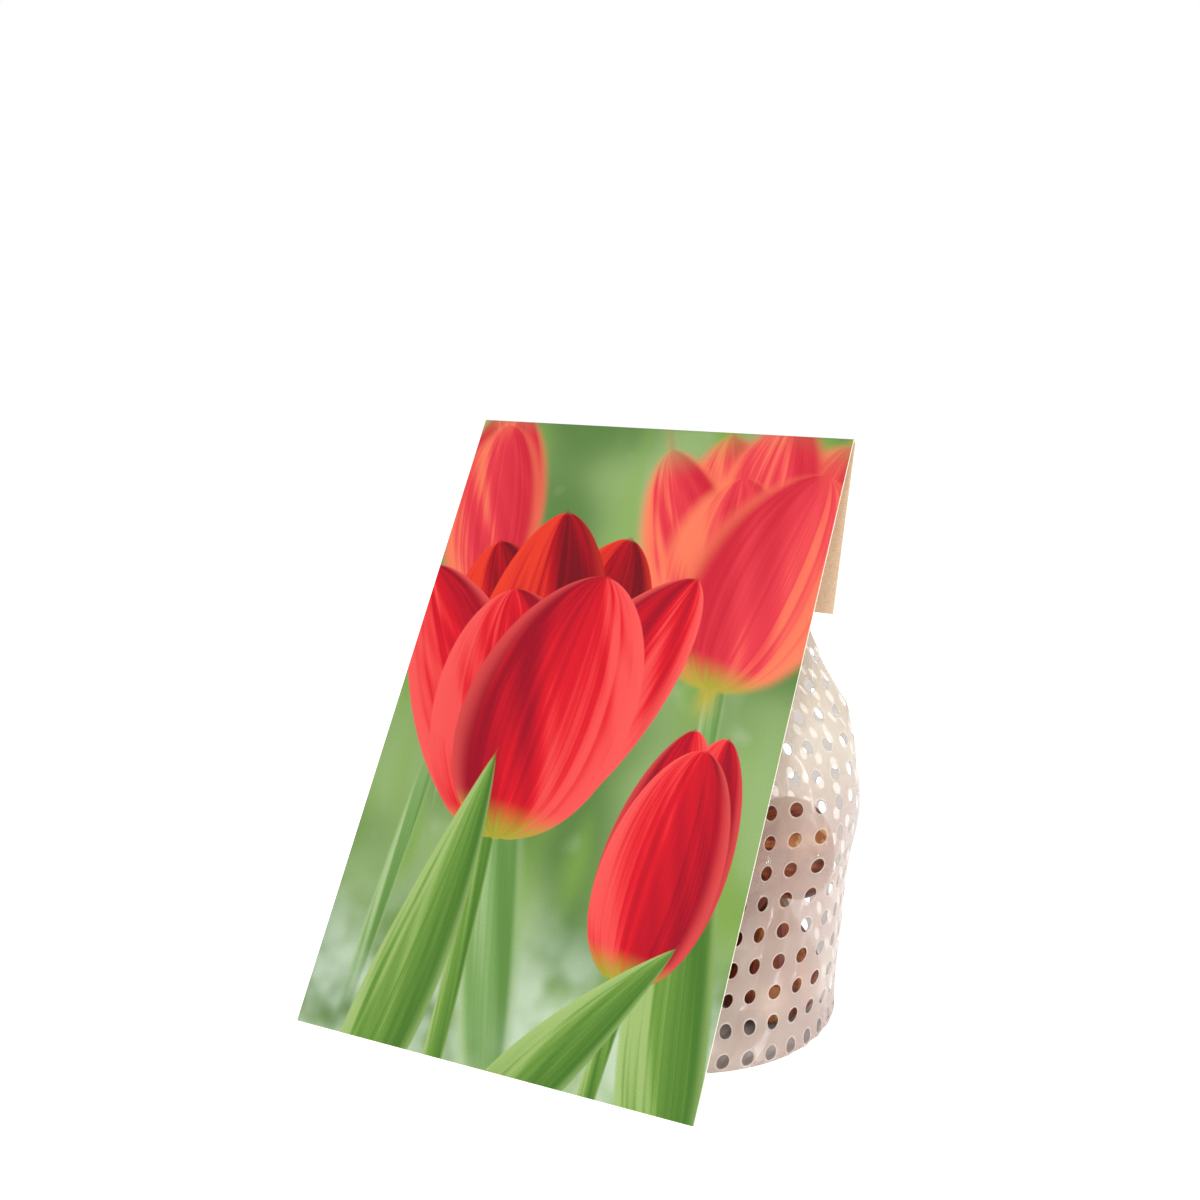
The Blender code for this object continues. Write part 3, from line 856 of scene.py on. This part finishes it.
def flank_shape(points, up):
    """Millimetres inwards at the flattened front corners, less what swells the sides and shoulders."""
    wide = np.abs(points[:, :, 0]) / MM
    back = points[:, :, 1] / MM
    body = eased(up, *BODY_START) * (1 - eased(up, *BODY_END))
    corner = eased(wide, *CORNER_START) * (1 - eased(wide, *CORNER_END)) * (1 - eased(back, *CORNER_BACK))
    turn = eased(wide, *TURN_START) * np.exp(-(((back - TURN_MIDDLE) / TURN_REACH) ** 2))
    shoulder = eased(up, *SHOULDER_START) * (1 - eased(up, *SHOULDER_END)) * eased(wide, *SHOULDER_WIDE)
    return body * (CORNER_DEPTH * corner - TURN_SWELL * turn) - SHOULDER_SWELL * shoulder


def fold_depths(around, up, empty, neck):
    """Millimetres inwards of the broad folds, the pleats below the neck and the fine creases."""
    draw = random.Random(FILM_SEED)
    broad = creases(around, up, draw, *BROAD_FOLDS)
    pleats = creases(around, up, draw, *PLEATS)
    fine = creases(around, up, draw, *FINE_FOLDS)
    gathered = PLEAT_DEPTH + PLEAT_LOOSE * eased(up, *PLEAT_HEIGHTS) - PLEAT_AT_NECK * neck
    inwards = broad * (BROAD_DEPTH + BROAD_LOOSE * empty) * (1 - BROAD_AT_NECK * neck)
    inwards += (pleats + PLEAT_START) * gathered
    return inwards + fine * (FINE_DEPTH + FINE_LOOSE * empty)


def kept_clear(points):
    """The film held behind the card and in front of the flap."""
    level = points[:, :, 2]
    behind_card = card_back(level) + ROW_SHIFT + CARD_GAP / math.cos(CARD_LEAN)
    before_flap = neck_back(level) + ROW_SHIFT
    below_flap = level < NECK_BOTTOM - FLAP_MARGIN
    y = np.maximum(points[:, :, 1], behind_card)
    points[:, :, 1] = np.where(below_flap, y, np.minimum(y, before_flap))
    return points


def film_surface(heap):
    """The crumpled film as a grid of points: round the bag, and up it."""
    turns = np.arange(SURFACE_COLUMNS) / SURFACE_COLUMNS
    heights = np.linspace(0, NECK_TOP, SURFACE_ROWS + 1)
    points = np.stack([bag_section(height, turns) for height in heights], axis=1)
    normals = outward_normals(points)
    around, up = np.meshgrid(turns * FILM_TURN, heights / MM, indexing="ij")
    empty = eased(up, *HEAP_BLEND)
    low = eased(up, *FOOT_BLEND)
    inwards = fold_depths(around, up, empty, eased(up, *NECK_BLEND)) + flank_shape(points, up)
    room = room_inside(points, normals, heap)
    sag = np.minimum(room, DEEPEST_SAG) * (1 - empty) * low
    for _ in range(SAG_BLURS):
        sag = blended_along(blended_round(sag))
    inwards = np.minimum(inwards * (low * MM) + sag, room) * eased(up, *BASE_BLEND)
    return kept_clear(points - normals * inwards[:, :, None])


def surface_object(points):
    """The film's surface as a mesh with a flat map, a little longer than one turn."""
    columns = np.arange(-SPARE_STEPS, SURFACE_COLUMNS + SPARE_STEPS + 1)
    rows = np.arange(-1, SURFACE_ROWS + 2)
    inside = np.clip(rows, 0, SURFACE_ROWS)
    grid = points[columns % SURFACE_COLUMNS][:, inside]
    wide, tall = len(columns), len(rows)
    index = np.arange(wide * tall).reshape(wide, tall)
    quads = np.stack([index[:-1, :-1], index[1:, :-1], index[1:, 1:], index[:-1, 1:]], axis=2).reshape(-1, 4)
    data = bpy.data.meshes.new("film_surface")
    data.from_pydata(grid.reshape(-1, 3).tolist(), [], quads.tolist())
    flat = np.stack(np.meshgrid(columns / SURFACE_COLUMNS, rows / SURFACE_ROWS, indexing="ij"), axis=2)
    layer = data.uv_layers.new(name="flat")
    layer.data.foreach_set("uv", flat.reshape(-1, 2)[quads.reshape(-1)].reshape(-1))
    surface = bpy.data.objects.new("film_surface", data)
    bpy.context.scene.collection.objects.link(surface)
    return surface


def vented_cell_nodes(tree, given):
    """One square cell with a round vent: a circle grown outwards in rings, the last one squared."""
    circle = {"Vertices": given["Vent Sides"], "Radius": given["Vent Radius"]}
    geometry = wire(tree, "GeometryNodeMeshCircle", circle, fill_type="NONE").outputs[0]
    place = wire(tree, "GeometryNodeInputPosition").outputs[0]
    length = vector_maths(tree, "LENGTH", {0: place}, "Value")
    quarter = parts_of(tree, vector_maths(tree, "ABSOLUTE", {0: place}))
    longest = maths(tree, "MAXIMUM", quarter[0], quarter[1])
    selection = True
    for reach, measure in ((given["Rim Radius"], length), (CELL_HALF, longest)):
        grow = {"Mesh": geometry, "Offset Scale": 0.0, "Selection": selection}
        grown = wire(tree, "GeometryNodeExtrudeMesh", grow, mode="EDGES")
        share = maths(tree, "DIVIDE", reach, measure)
        moved = vector_maths(tree, "SCALE", {0: place, "Scale": share})
        move = {"Geometry": grown.outputs["Mesh"], "Selection": grown.outputs["Top"], "Position": moved}
        geometry = wire(tree, "GeometryNodeSetPosition", move).outputs[0]
        selection = grown.outputs["Top"]
    return geometry


def merged(tree, geometry, distance):
    """Geometry whose corners that meet are made one."""
    inputs = {"Geometry": geometry, "Distance": distance}
    return wire(tree, "GeometryNodeMergeByDistance", inputs).outputs[0]


def sheet_of_cells(tree, given):
    """Vented cells in rows and columns, joined to one flat sheet about the middle."""
    cell = vented_cell_nodes(tree, given)
    wide = maths(tree, "SUBTRACT", given["Columns"], 1.0)
    tall = maths(tree, "SUBTRACT", given["Rows"], 1.0)
    lattice = {"Size X": wide, "Size Y": tall, "Vertices X": given["Columns"], "Vertices Y": given["Rows"]}
    places = wire(tree, "GeometryNodeMeshGrid", lattice).outputs[0]
    cells = wire(tree, "GeometryNodeInstanceOnPoints", {"Points": places, "Instance": cell}).outputs[0]
    sheet = wire(tree, "GeometryNodeRealizeInstances", {"Geometry": cells}).outputs[0]
    return merged(tree, sheet, CELL_MERGE)


def laid_on_surface(tree, given, sheet):
    """The flat sheet laid over the surface by the surface's flat map, with its own map of cells kept."""
    size = combined(tree, given["Columns"], given["Rows"], 1.0)
    half = vector_maths(tree, "SCALE", {0: size, "Scale": CELL_HALF})
    place = wire(tree, "GeometryNodeInputPosition").outputs[0]
    cell_place = vector_maths(tree, "ADD", {0: place, 1: half})
    keep = {"Geometry": sheet, "Name": "cells", "Value": cell_place}
    corner_map = {"data_type": "FLOAT2", "domain": "CORNER"}
    kept = wire(tree, "GeometryNodeStoreNamedAttribute", keep, **corner_map).outputs[0]
    flat = {"Name": "flat"}
    flat_map = wire(tree, "GeometryNodeInputNamedAttribute", flat, data_type="FLOAT_VECTOR").outputs[0]
    flat_place = vector_maths(tree, "DIVIDE", {0: cell_place, 1: size})
    look = {"Mesh": given["Geometry"], "Value": place, "UV Map": flat_map, "Sample UV": flat_place}
    found = wire(tree, "GeometryNodeSampleUVSurface", look, data_type="FLOAT_VECTOR").outputs[0]
    laid = wire(tree, "GeometryNodeSetPosition", {"Geometry": kept, "Position": found}).outputs[0]
    return merged(tree, laid, FILM_MERGE)


def perforated_sheet_tree():
    """The node tree that turns a mapped surface into one of vented cells."""
    tree = bpy.data.node_groups.new("perforated_sheet", "GeometryNodeTree")
    sockets = [("Geometry", "Geometry"), ("Columns", "Int"), ("Rows", "Int"), ("Vent Sides", "Int")]
    sockets += [("Vent Radius", "Float"), ("Rim Radius", "Float"), ("Film", "Material")]
    for label, kind in sockets:
        tree.interface.new_socket(label, in_out="INPUT", socket_type="NodeSocket" + kind)
    tree.interface.new_socket("Geometry", in_out="OUTPUT", socket_type="NodeSocketGeometry")
    given = tree.nodes.new("NodeGroupInput").outputs
    laid = laid_on_surface(tree, given, sheet_of_cells(tree, given))
    solid = wire(tree, "GeometryNodeRealizeInstances", {"Geometry": laid}).outputs[0]
    dress = {"Geometry": solid, "Material": given["Film"]}
    dressed = wire(tree, "GeometryNodeSetMaterial", dress).outputs[0]
    tree.links.new(dressed, tree.nodes.new("NodeGroupOutput").inputs[0])
    return tree


def perforated_mesh(surface, material):
    """The plain mesh that the node tree makes from the film's surface."""
    modifier = surface.modifiers.new("perforations", "NODES")
    tree = perforated_sheet_tree()
    modifier.node_group = tree
    values = {
        "Columns": VENT_COLUMNS,
        "Rows": VENT_ROWS,
        "Vent Sides": VENT_SIDES,
        "Vent Radius": VENT_RADIUS,
        "Rim Radius": RIM_RADIUS,
        "Film": material,
    }
    for item in tree.interface.items_tree:
        if item.in_out == "INPUT" and item.name in values:
            modifier[item.identifier] = values[item.name]
    graph = bpy.context.evaluated_depsgraph_get()
    made = bpy.data.meshes.new_from_object(surface.evaluated_get(graph))
    bpy.data.objects.remove(surface)
    bpy.data.node_groups.remove(tree)
    return made


def close_base(mesh):
    """Fills the bag's bottom with a ladder of faces between its front and back edges."""
    rim = [v for v in mesh.verts if v.is_boundary and v.co.z < LOWEST_RIM]
    middle = sum((v.co for v in rim), Vector()) / len(rim)
    rim.sort(key=lambda v: math.atan2(v.co.y - middle.y, v.co.x - middle.x) % (math.tau - SEAM_SLIP))
    count = len(rim)
    tip = count // 2
    mesh.faces.new((rim[0], rim[-1], rim[1]))
    for index in range(1, tip - 1):
        mirrored = count - index
        mesh.faces.new((rim[index], rim[mirrored], rim[mirrored - 1], rim[index + 1]))
    mesh.faces.new((rim[tip - 1], rim[tip + 1], rim[tip]))


def fold_film(mesh):
    """Smooth film with its sharpest folds left crisp, facing outwards."""
    bmesh.ops.recalc_face_normals(mesh, faces=mesh.faces)
    facing = sum(face.normal.x * face.calc_center_median().x for face in mesh.faces)
    if facing < 0:
        bmesh.ops.reverse_faces(mesh, faces=mesh.faces)
    for face in mesh.faces:
        face.smooth = True
    for edge in mesh.edges:
        edge.smooth = edge.calc_face_angle(0.0) < SHARP_FOLD


def thickened(thing):
    """The object's mesh with the film's own thickness, inwards."""
    wall = thing.modifiers.new("wall", "SOLIDIFY")
    wall.thickness = FILM
    wall.offset = -1
    graph = bpy.context.evaluated_depsgraph_get()
    data = bpy.data.meshes.new_from_object(thing.evaluated_get(graph))
    thing.modifiers.remove(wall)
    return data


def make_film(heap):
    """The crumpled film bag with its rows of vents."""
    material = film_material()
    data = perforated_mesh(surface_object(film_surface(heap)), material)
    mesh = bmesh.new()
    mesh.from_mesh(data)
    close_base(mesh)
    fold_film(mesh)
    mesh.to_mesh(data)
    mesh.free()
    film = new_object("perforated_film", data)
    film.data = thickened(film)
    film.data.name = "perforated_film"
    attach(film, "root")
    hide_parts("film_bag")


# Milky film: its colours over the bulbs, painted darker and pinker as shade and tint of the bulbs behind it,
# where it is loose, and where it is whitest
# Painted shade: the film over the bulbs is darker and pinker, standing in for the shaded bulbs seen through
# it
FILM_PAINTED_BULB_SHADE = (0.57, 0.44, 0.385, 1)
FILM_LOOSE = (0.63, 0.54, 0.43, 1)
FILM_PALE = (0.74, 0.67, 0.59, 1)
# Painted light: the film glows faintly in its own colour, standing in for light passing through the milky
# film
FILM_PAINTED_GLOW = 0.12
FILM_SHINE = 0.4
LOOSE_HEIGHTS = (62 * MM, 88 * MM)
HAZE_SCALE = 26.0
PALE_RANGE = (0.42, 0.70, 0.0, 0.45)
PALE_RIM = 0.5
OPAQUE_RANGE = (0.3, 0.72, 0.42, 0.54)
OPAQUE_RIM = 0.14
GLOSS_RANGE = (0.3, 0.7, 0.08, 0.18)
RIM_INNER = VENT_RADIUS + 0.01
RIM_OUTER = RIM_RADIUS - 0.02

# Its crinkles, in cells, and how strong and deep their relief is
CRINKLE_SIZE = 0.5
CRINKLE_SWAY = 1.2
SWAY_SCALE = 0.3
CRINKLE_BUMP = (0.85, 3.5 * MM)


def rim_mask_group():
    """How near a spot of the film is to the edge of its vent, from the map of cells."""
    inputs = {"Cells": "Vector", "Inner": "Float", "Outer": "Float"}
    group, given, made = new_group("vent_rim", inputs, {"Rim": "Float"})
    share = vector_maths(group, "FRACTION", {0: given["Cells"]})
    off = vector_maths(group, "SUBTRACT", {0: share, 1: CELL_MIDDLE})
    off = vector_maths(group, "MULTIPLY", {0: off, 1: FLATTENED})
    reach = vector_maths(group, "LENGTH", {0: off}, "Value")
    set_inputs(group, made, {"Rim": ramped(group, reach, given["Outer"], given["Inner"])})
    return group


def crinkle_group():
    """The height of crisp folds in thin film: bent straight-sided facets laid over the map of cells."""
    inputs = {"Cells": "Vector", "Size": "Float", "Sway": "Float"}
    group, given, made = new_group("film_crinkle", inputs, {"Height": "Float"})
    wander = {"Vector": given["Cells"], "Scale": SWAY_SCALE, "Detail": 1.0}
    bend = wire(group, "ShaderNodeTexNoise", wander).outputs["Color"]
    bend = vector_maths(group, "SCALE", {0: bend, "Scale": given["Sway"]})
    edges = {"Vector": vector_maths(group, "ADD", {0: given["Cells"], 1: bend}), "Scale": given["Size"]}
    style = {"feature": "DISTANCE_TO_EDGE", "voronoi_dimensions": "2D"}
    facets = wire(group, "ShaderNodeTexVoronoi", edges, **style)
    set_inputs(group, made, {"Height": facets.outputs[0]})
    return group


def film_material():
    """Thin milky film: darker and pinker over the bulbs, as painted shade and tint of the bulbs behind it,
    creamier above, and paler in its haze and round its vents, with a faint painted glow.
    """
    # The emission here is painted light, a faint glow standing in for light let through the film
    shine_and_painted_glow = {"Specular_IOR_Level": FILM_SHINE, "Emission_Strength": FILM_PAINTED_GLOW}
    material, tree, shader = new_material("milky_film", **shine_and_painted_glow)
    place = own_place(tree)
    cells = map_place(tree, "cells")
    spot = {"Cells": cells, "Inner": RIM_INNER, "Outer": RIM_OUTER}
    rim = wire(tree, "ShaderNodeGroup", spot, node_tree=rim_mask_group()).outputs[0]
    folds = {"Cells": cells, "Size": CRINKLE_SIZE, "Sway": CRINKLE_SWAY}
    crinkle = wire(tree, "ShaderNodeGroup", folds, node_tree=crinkle_group()).outputs[0]
    haze = noise(tree, place, HAZE_SCALE, detail=2.0)
    loose = ramped(tree, parts_of(tree, place)[2], *LOOSE_HEIGHTS)
    # Painted shade: darker, pinker film below the loose part, where the bulbs lie behind it
    colour = mixed(tree, loose, FILM_PAINTED_BULB_SHADE, FILM_LOOSE)
    pale = maths(tree, "MULTIPLY_ADD", rim, PALE_RIM, ramped(tree, haze, *PALE_RANGE))
    colour = mixed(tree, pale, colour, FILM_PALE)
    opacity = ramped(tree, haze, *OPAQUE_RANGE)
    look = {
        "Base Color": colour,
        # Painted light: the glow takes the film's own colour
        "Emission Color": colour,
        "Alpha": maths(tree, "MULTIPLY_ADD", rim, OPAQUE_RIM, opacity, clamp=True),
        "Roughness": ramped(tree, haze, *GLOSS_RANGE),
    }
    set_inputs(tree, shader, look)
    add_bump(tree, shader, crinkle, *CRINKLE_BUMP)
    return material


def node_points(node):
    """The corners of a CAD node in the row's frame, and its triangles, with shared corners made one."""
    thing = bpy.data.objects[node]
    data = thing.data
    points = [thing.matrix_world @ vertex.co for vertex in data.vertices]
    keys = {}
    kept = []
    place = []
    for point in points:
        key = tuple(round(value, CORNER_DIGITS) for value in point)
        if key not in keys:
            keys[key] = len(kept)
            kept.append(point)
        place.append(keys[key])
    faces = [tuple(place[corner] for corner in face.vertices) for face in data.polygons]
    return kept, [face for face in faces if len(set(face)) == 3]


def bulb_axis(points):
    """A bulb's nose, the middle of its basal plate, and its length."""
    middle = sum(points, Vector()) / len(points)
    nose = max(points, key=lambda point: (point - middle).length)
    along = (nose - middle).normalized()
    lowest = min((point - middle).dot(along) for point in points)
    foot = middle + along * lowest
    return foot, along, (nose - foot).length


def outward_shift(points):
    """How far a bulb at the side of the heap is moved to press against the film."""
    middle = sum(point.x for point in points) / len(points)
    reach = max(abs(point.x) for point in points)
    side = float(eased(np.array(abs(middle) / MM), *SIDE_BULBS))
    return Vector((math.copysign(min(side * BULB_SPREAD, max(BULB_REACH - reach, 0)), middle), 0, 0))


def ring_place(foot, along, length, share):
    """The middle of one of a bulb's rings."""
    return foot + along * (length * (FIRST_RING + RINGED_SHARE * share))


def bulb_reaches(solid, start, along, length, spokes, shares):
    """How far out a bulb's solid lies along each spoke of each ring, smoothed over its facets."""
    reach = np.zeros((len(spokes), len(shares)))
    for column, out in enumerate(spokes):
        for row, share in enumerate(shares):
            hit = solid.ray_cast(ring_place(start, along, length, share), out)
            reach[column, row] = hit[3] if hit[3] is not None else 0.0
    for _ in range(ROUND_BLURS):
        reach = blended_round(reach)
    return blended_along(reach)


def tunic_relief(number, angles, shares):
    """The long ribs of a dry tunic, from 0 in the grooves to 1."""
    draw = random.Random(number)
    relief = np.zeros((len(angles), len(shares)))
    for ribs in TUNIC_RIBS:
        sway = draw.uniform(*RIB_SWAY) * shares[None, :]
        turned = angles[:, None] * ribs / 2 + sway + draw.uniform(*PHASES)
        relief += np.abs(np.sin(turned)) / len(TUNIC_RIBS)
    return relief


def bulb_rings(node, number):
    """A bulb's foot and nose, and rings of points up it, measured on its CAD solid and given ribs."""
    points, faces = node_points(node)
    solid = BVHTree.FromPolygons(points, faces)
    start, along, length = bulb_axis(points)
    foot = start + outward_shift(points)
    across = along.orthogonal().normalized()
    beside = along.cross(across)
    angles = np.arange(BULB_COLUMNS) / BULB_COLUMNS * math.tau
    shares = 0.5 - 0.5 * np.cos(np.linspace(0, math.pi, BULB_ROWS + 1))[1:-1]
    spokes = [across * math.cos(angle) + beside * math.sin(angle) for angle in angles]
    reach = bulb_reaches(solid, start, along, length, spokes, shares)
    reach = reach * (BULB_SHARE + RIB_RELIEF * tunic_relief(number, angles, shares) - RIB_RELIEF)
    rings = []
    for row, share in enumerate(shares):
        centre = ring_place(foot, along, length, share)
        rings.append([centre + out * reach[column, row] for column, out in enumerate(spokes)])
    return foot + along * length * FOOT_SHARE, foot + along * length * NOSE_SHARE, rings, shares


def make_bulb(number, material):
    """One bulb as a closed skin, with a map that runs round it and up it."""
    node = f"bulb_{number:02d}"
    name = f"bulb_skin_{number:02d}"
    foot, nose, rings, shares = bulb_rings(node, number)
    mesh = bmesh.new()
    layer = mesh.loops.layers.uv.new("tunic")
    first = mesh.verts.new(foot)
    last = mesh.verts.new(nose)
    lines = [[mesh.verts.new(point) for point in ring] for ring in rings]

    def add(corners, spots):
        face = mesh.faces.new(corners)
        face.smooth = True
        for loop, (column, share) in zip(face.loops, spots):
            loop[layer].uv = (number + MAP_SHARE * column / BULB_COLUMNS, share)

    for column in range(BULB_COLUMNS):
        after = (column + 1) % BULB_COLUMNS
        edge = column + 1
        start = shares[0]
        end = shares[-1]
        add((first, lines[0][after], lines[0][column]), ((column, 0), (edge, start), (column, start)))
        add((last, lines[-1][column], lines[-1][after]), ((column, 1), (column, end), (edge, end)))
        for row in range(len(lines) - 1):
            low, high = shares[row], shares[row + 1]
            corners = (lines[row][column], lines[row][after], lines[row + 1][after], lines[row + 1][column])
            add(corners, ((column, low), (edge, low), (edge, high), (column, high)))
    bulb = new_object(name, finished_mesh(name, mesh))
    bulb.data.materials.append(material)
    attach(bulb, "root")
    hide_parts(node)
    return bulb


# Dry tunic: its colours from the grooves to the bare scale, nose and foot, and where each one shows
TUNIC_DEEP = (0.09, 0.010, 0.004, 1)
TUNIC_CHESTNUT = (0.34, 0.07, 0.018, 1)
TUNIC_WORN = (0.55, 0.20, 0.055, 1)
TUNIC_BARE = (0.66, 0.40, 0.18, 1)
NOSE_TAN = (0.42, 0.22, 0.10, 1)
FOOT_CORK = (0.30, 0.19, 0.10, 1)
BULB_STEP = 5.3
LINE_STRETCH = 0.35
LINE_SCALE = 7.0
LINE_RANGE = (0.35, 0.68)
WEAR_STRETCH = 2.2
WEAR_SCALE = 1.3
WORN_RANGE = (0.50, 0.60, 0.0, 0.8)
BARE_RANGE = (0.645, 0.66)
BARE_STEP = -0.6
NOSE_RANGE = (0.80, 1.0, 0.0, 0.75)
CORK_RANGE = (0.07, 0.015, 0.0, 0.9)
SHEEN_RANGE = (0.3, 0.7, 0.32, 0.6)
TUNIC_BUMP = (0.5, 0.5 * MM)


def tunic_material():
    """A dry papery bulb skin: chestnut with long streaks, paler patches, a tan nose and a corky foot."""
    material, tree, shader = new_material("dry_tunic")
    flat = parts_of(tree, map_place(tree, "tunic"))
    turn = maths(tree, "MULTIPLY", flat[0], math.tau)
    share = flat[1]
    which = maths(tree, "MULTIPLY", maths(tree, "FLOOR", flat[0]), BULB_STEP)
    ring = (maths(tree, "COSINE", turn), maths(tree, "SINE", turn))
    line_place = combined(tree, *ring, maths(tree, "MULTIPLY_ADD", share, LINE_STRETCH, which))
    wear_place = combined(tree, *ring, maths(tree, "MULTIPLY_ADD", share, WEAR_STRETCH, which))
    lines = noise(tree, line_place, LINE_SCALE, detail=5.0, roughness=0.65)
    wear = noise(tree, wear_place, WEAR_SCALE, detail=4.0, roughness=0.6)
    bare = ramped(tree, wear, *BARE_RANGE)
    colour = mixed(tree, ramped(tree, lines, *LINE_RANGE), TUNIC_DEEP, TUNIC_CHESTNUT)
    colour = mixed(tree, ramped(tree, wear, *WORN_RANGE), colour, TUNIC_WORN)
    colour = mixed(tree, bare, colour, TUNIC_BARE)
    colour = mixed(tree, ramped(tree, share, *NOSE_RANGE), colour, NOSE_TAN)
    colour = mixed(tree, ramped(tree, share, *CORK_RANGE), colour, FOOT_CORK)
    set_inputs(tree, shader, {"Base Color": colour, "Roughness": ramped(tree, lines, *SHEEN_RANGE)})
    add_bump(tree, shader, maths(tree, "MULTIPLY_ADD", bare, BARE_STEP, lines), *TUNIC_BUMP)
    return material


# Bright wire: its worn and bright colours, and the scale and gloss of its wear
WIRE_WORN = (0.62, 0.62, 0.63, 1)
WIRE_BRIGHT = (0.80, 0.80, 0.80, 1)
WIRE_SCALE = 900.0
WIRE_GLOSS = (0.3, 0.7, 0.22, 0.42)


def steel_material():
    """Bright drawn wire with fine wear."""
    material, tree, shader = new_material("bright_wire", Metallic=1.0)
    wear = noise(tree, own_place(tree), WIRE_SCALE)
    colour = mixed(tree, ramped(tree, wear, *TONE_RANGE), WIRE_WORN, WIRE_BRIGHT)
    set_inputs(tree, shader, {"Base Color": colour, "Roughness": ramped(tree, wear, *WIRE_GLOSS)})
    return material


def dress_staples():
    material = steel_material()
    for node in ("staple_left", "staple_right"):
        staple = bpy.data.objects[node]
        staple.data.materials.clear()
        staple.data.materials.append(material)


def heap_of(bulbs):
    """One tree of every bulb's skin, for measuring how far the film can sink."""
    points = []
    faces = []
    for bulb in bulbs:
        start = len(points)
        points += [vertex.co.copy() for vertex in bulb.data.vertices]
        faces += [tuple(start + corner for corner in face.vertices) for face in bulb.data.polygons]
    return BVHTree.FromPolygons(points, faces)


def make_floor():
    mesh = bmesh.new()
    bmesh.ops.create_grid(mesh, x_segments=FLOOR_SQUARES, y_segments=FLOOR_SQUARES, size=FLOOR_HALF)
    floor = new_object("floor", finished_mesh("floor", mesh))
    glow = {"Emission_Color": WHITE, "Emission_Strength": FLOOR_GLOW}
    look = new_material("lit_floor", Base_Color=FLOOR_COLOUR, Roughness=FLOOR_ROUGHNESS, **glow)
    floor.data.materials.append(look[0])


def add_light(name, place, size, power):
    data = bpy.data.lights.new(name, "AREA")
    data.shape = "RECTANGLE"
    data.size, data.size_y = size
    data.energy = power
    light = new_object(name, data)
    light.location = place
    light.rotation_euler = (LIGHT_AIM - Vector(place)).to_track_quat("-Z", "Y").to_euler()


def add_backdrop():
    """White all round, and brighter to the camera than to the object, so that softboxes give the shading."""
    world = bpy.data.worlds.new("studio")
    bpy.context.scene.world = world
    world.use_nodes = True
    tree = world.node_tree
    seen = wire(tree, "ShaderNodeLightPath").outputs["Is Camera Ray"]
    strength = ramped(tree, seen, 0.0, 1.0, WORLD_LIGHT, WORLD_SEEN)
    set_inputs(tree, tree.nodes["Background"], {"Color": WHITE, "Strength": strength})


def set_up_studio():
    add_backdrop()
    for light in LIGHTS:
        add_light(*light)
    bpy.context.scene.view_settings.view_transform = "Standard"
    data = bpy.data.cameras.new("camera")
    data.lens = CAMERA_LENS
    data.sensor_width = CAMERA_SENSOR
    camera = new_object("camera", data)
    camera.location = CAMERA_PLACE
    camera.rotation_euler = (math.pi / 2 - CAMERA_DOWN, 0, CAMERA_ROUND)
    bpy.context.scene.camera = camera


def main():
    set_up_studio()
    make_floor()
    make_card()
    tunic = tunic_material()
    bulbs = [make_bulb(number, tunic) for number in range(1, BULB_COUNT + 1)]
    dress_staples()
    make_film(heap_of(bulbs))


main()
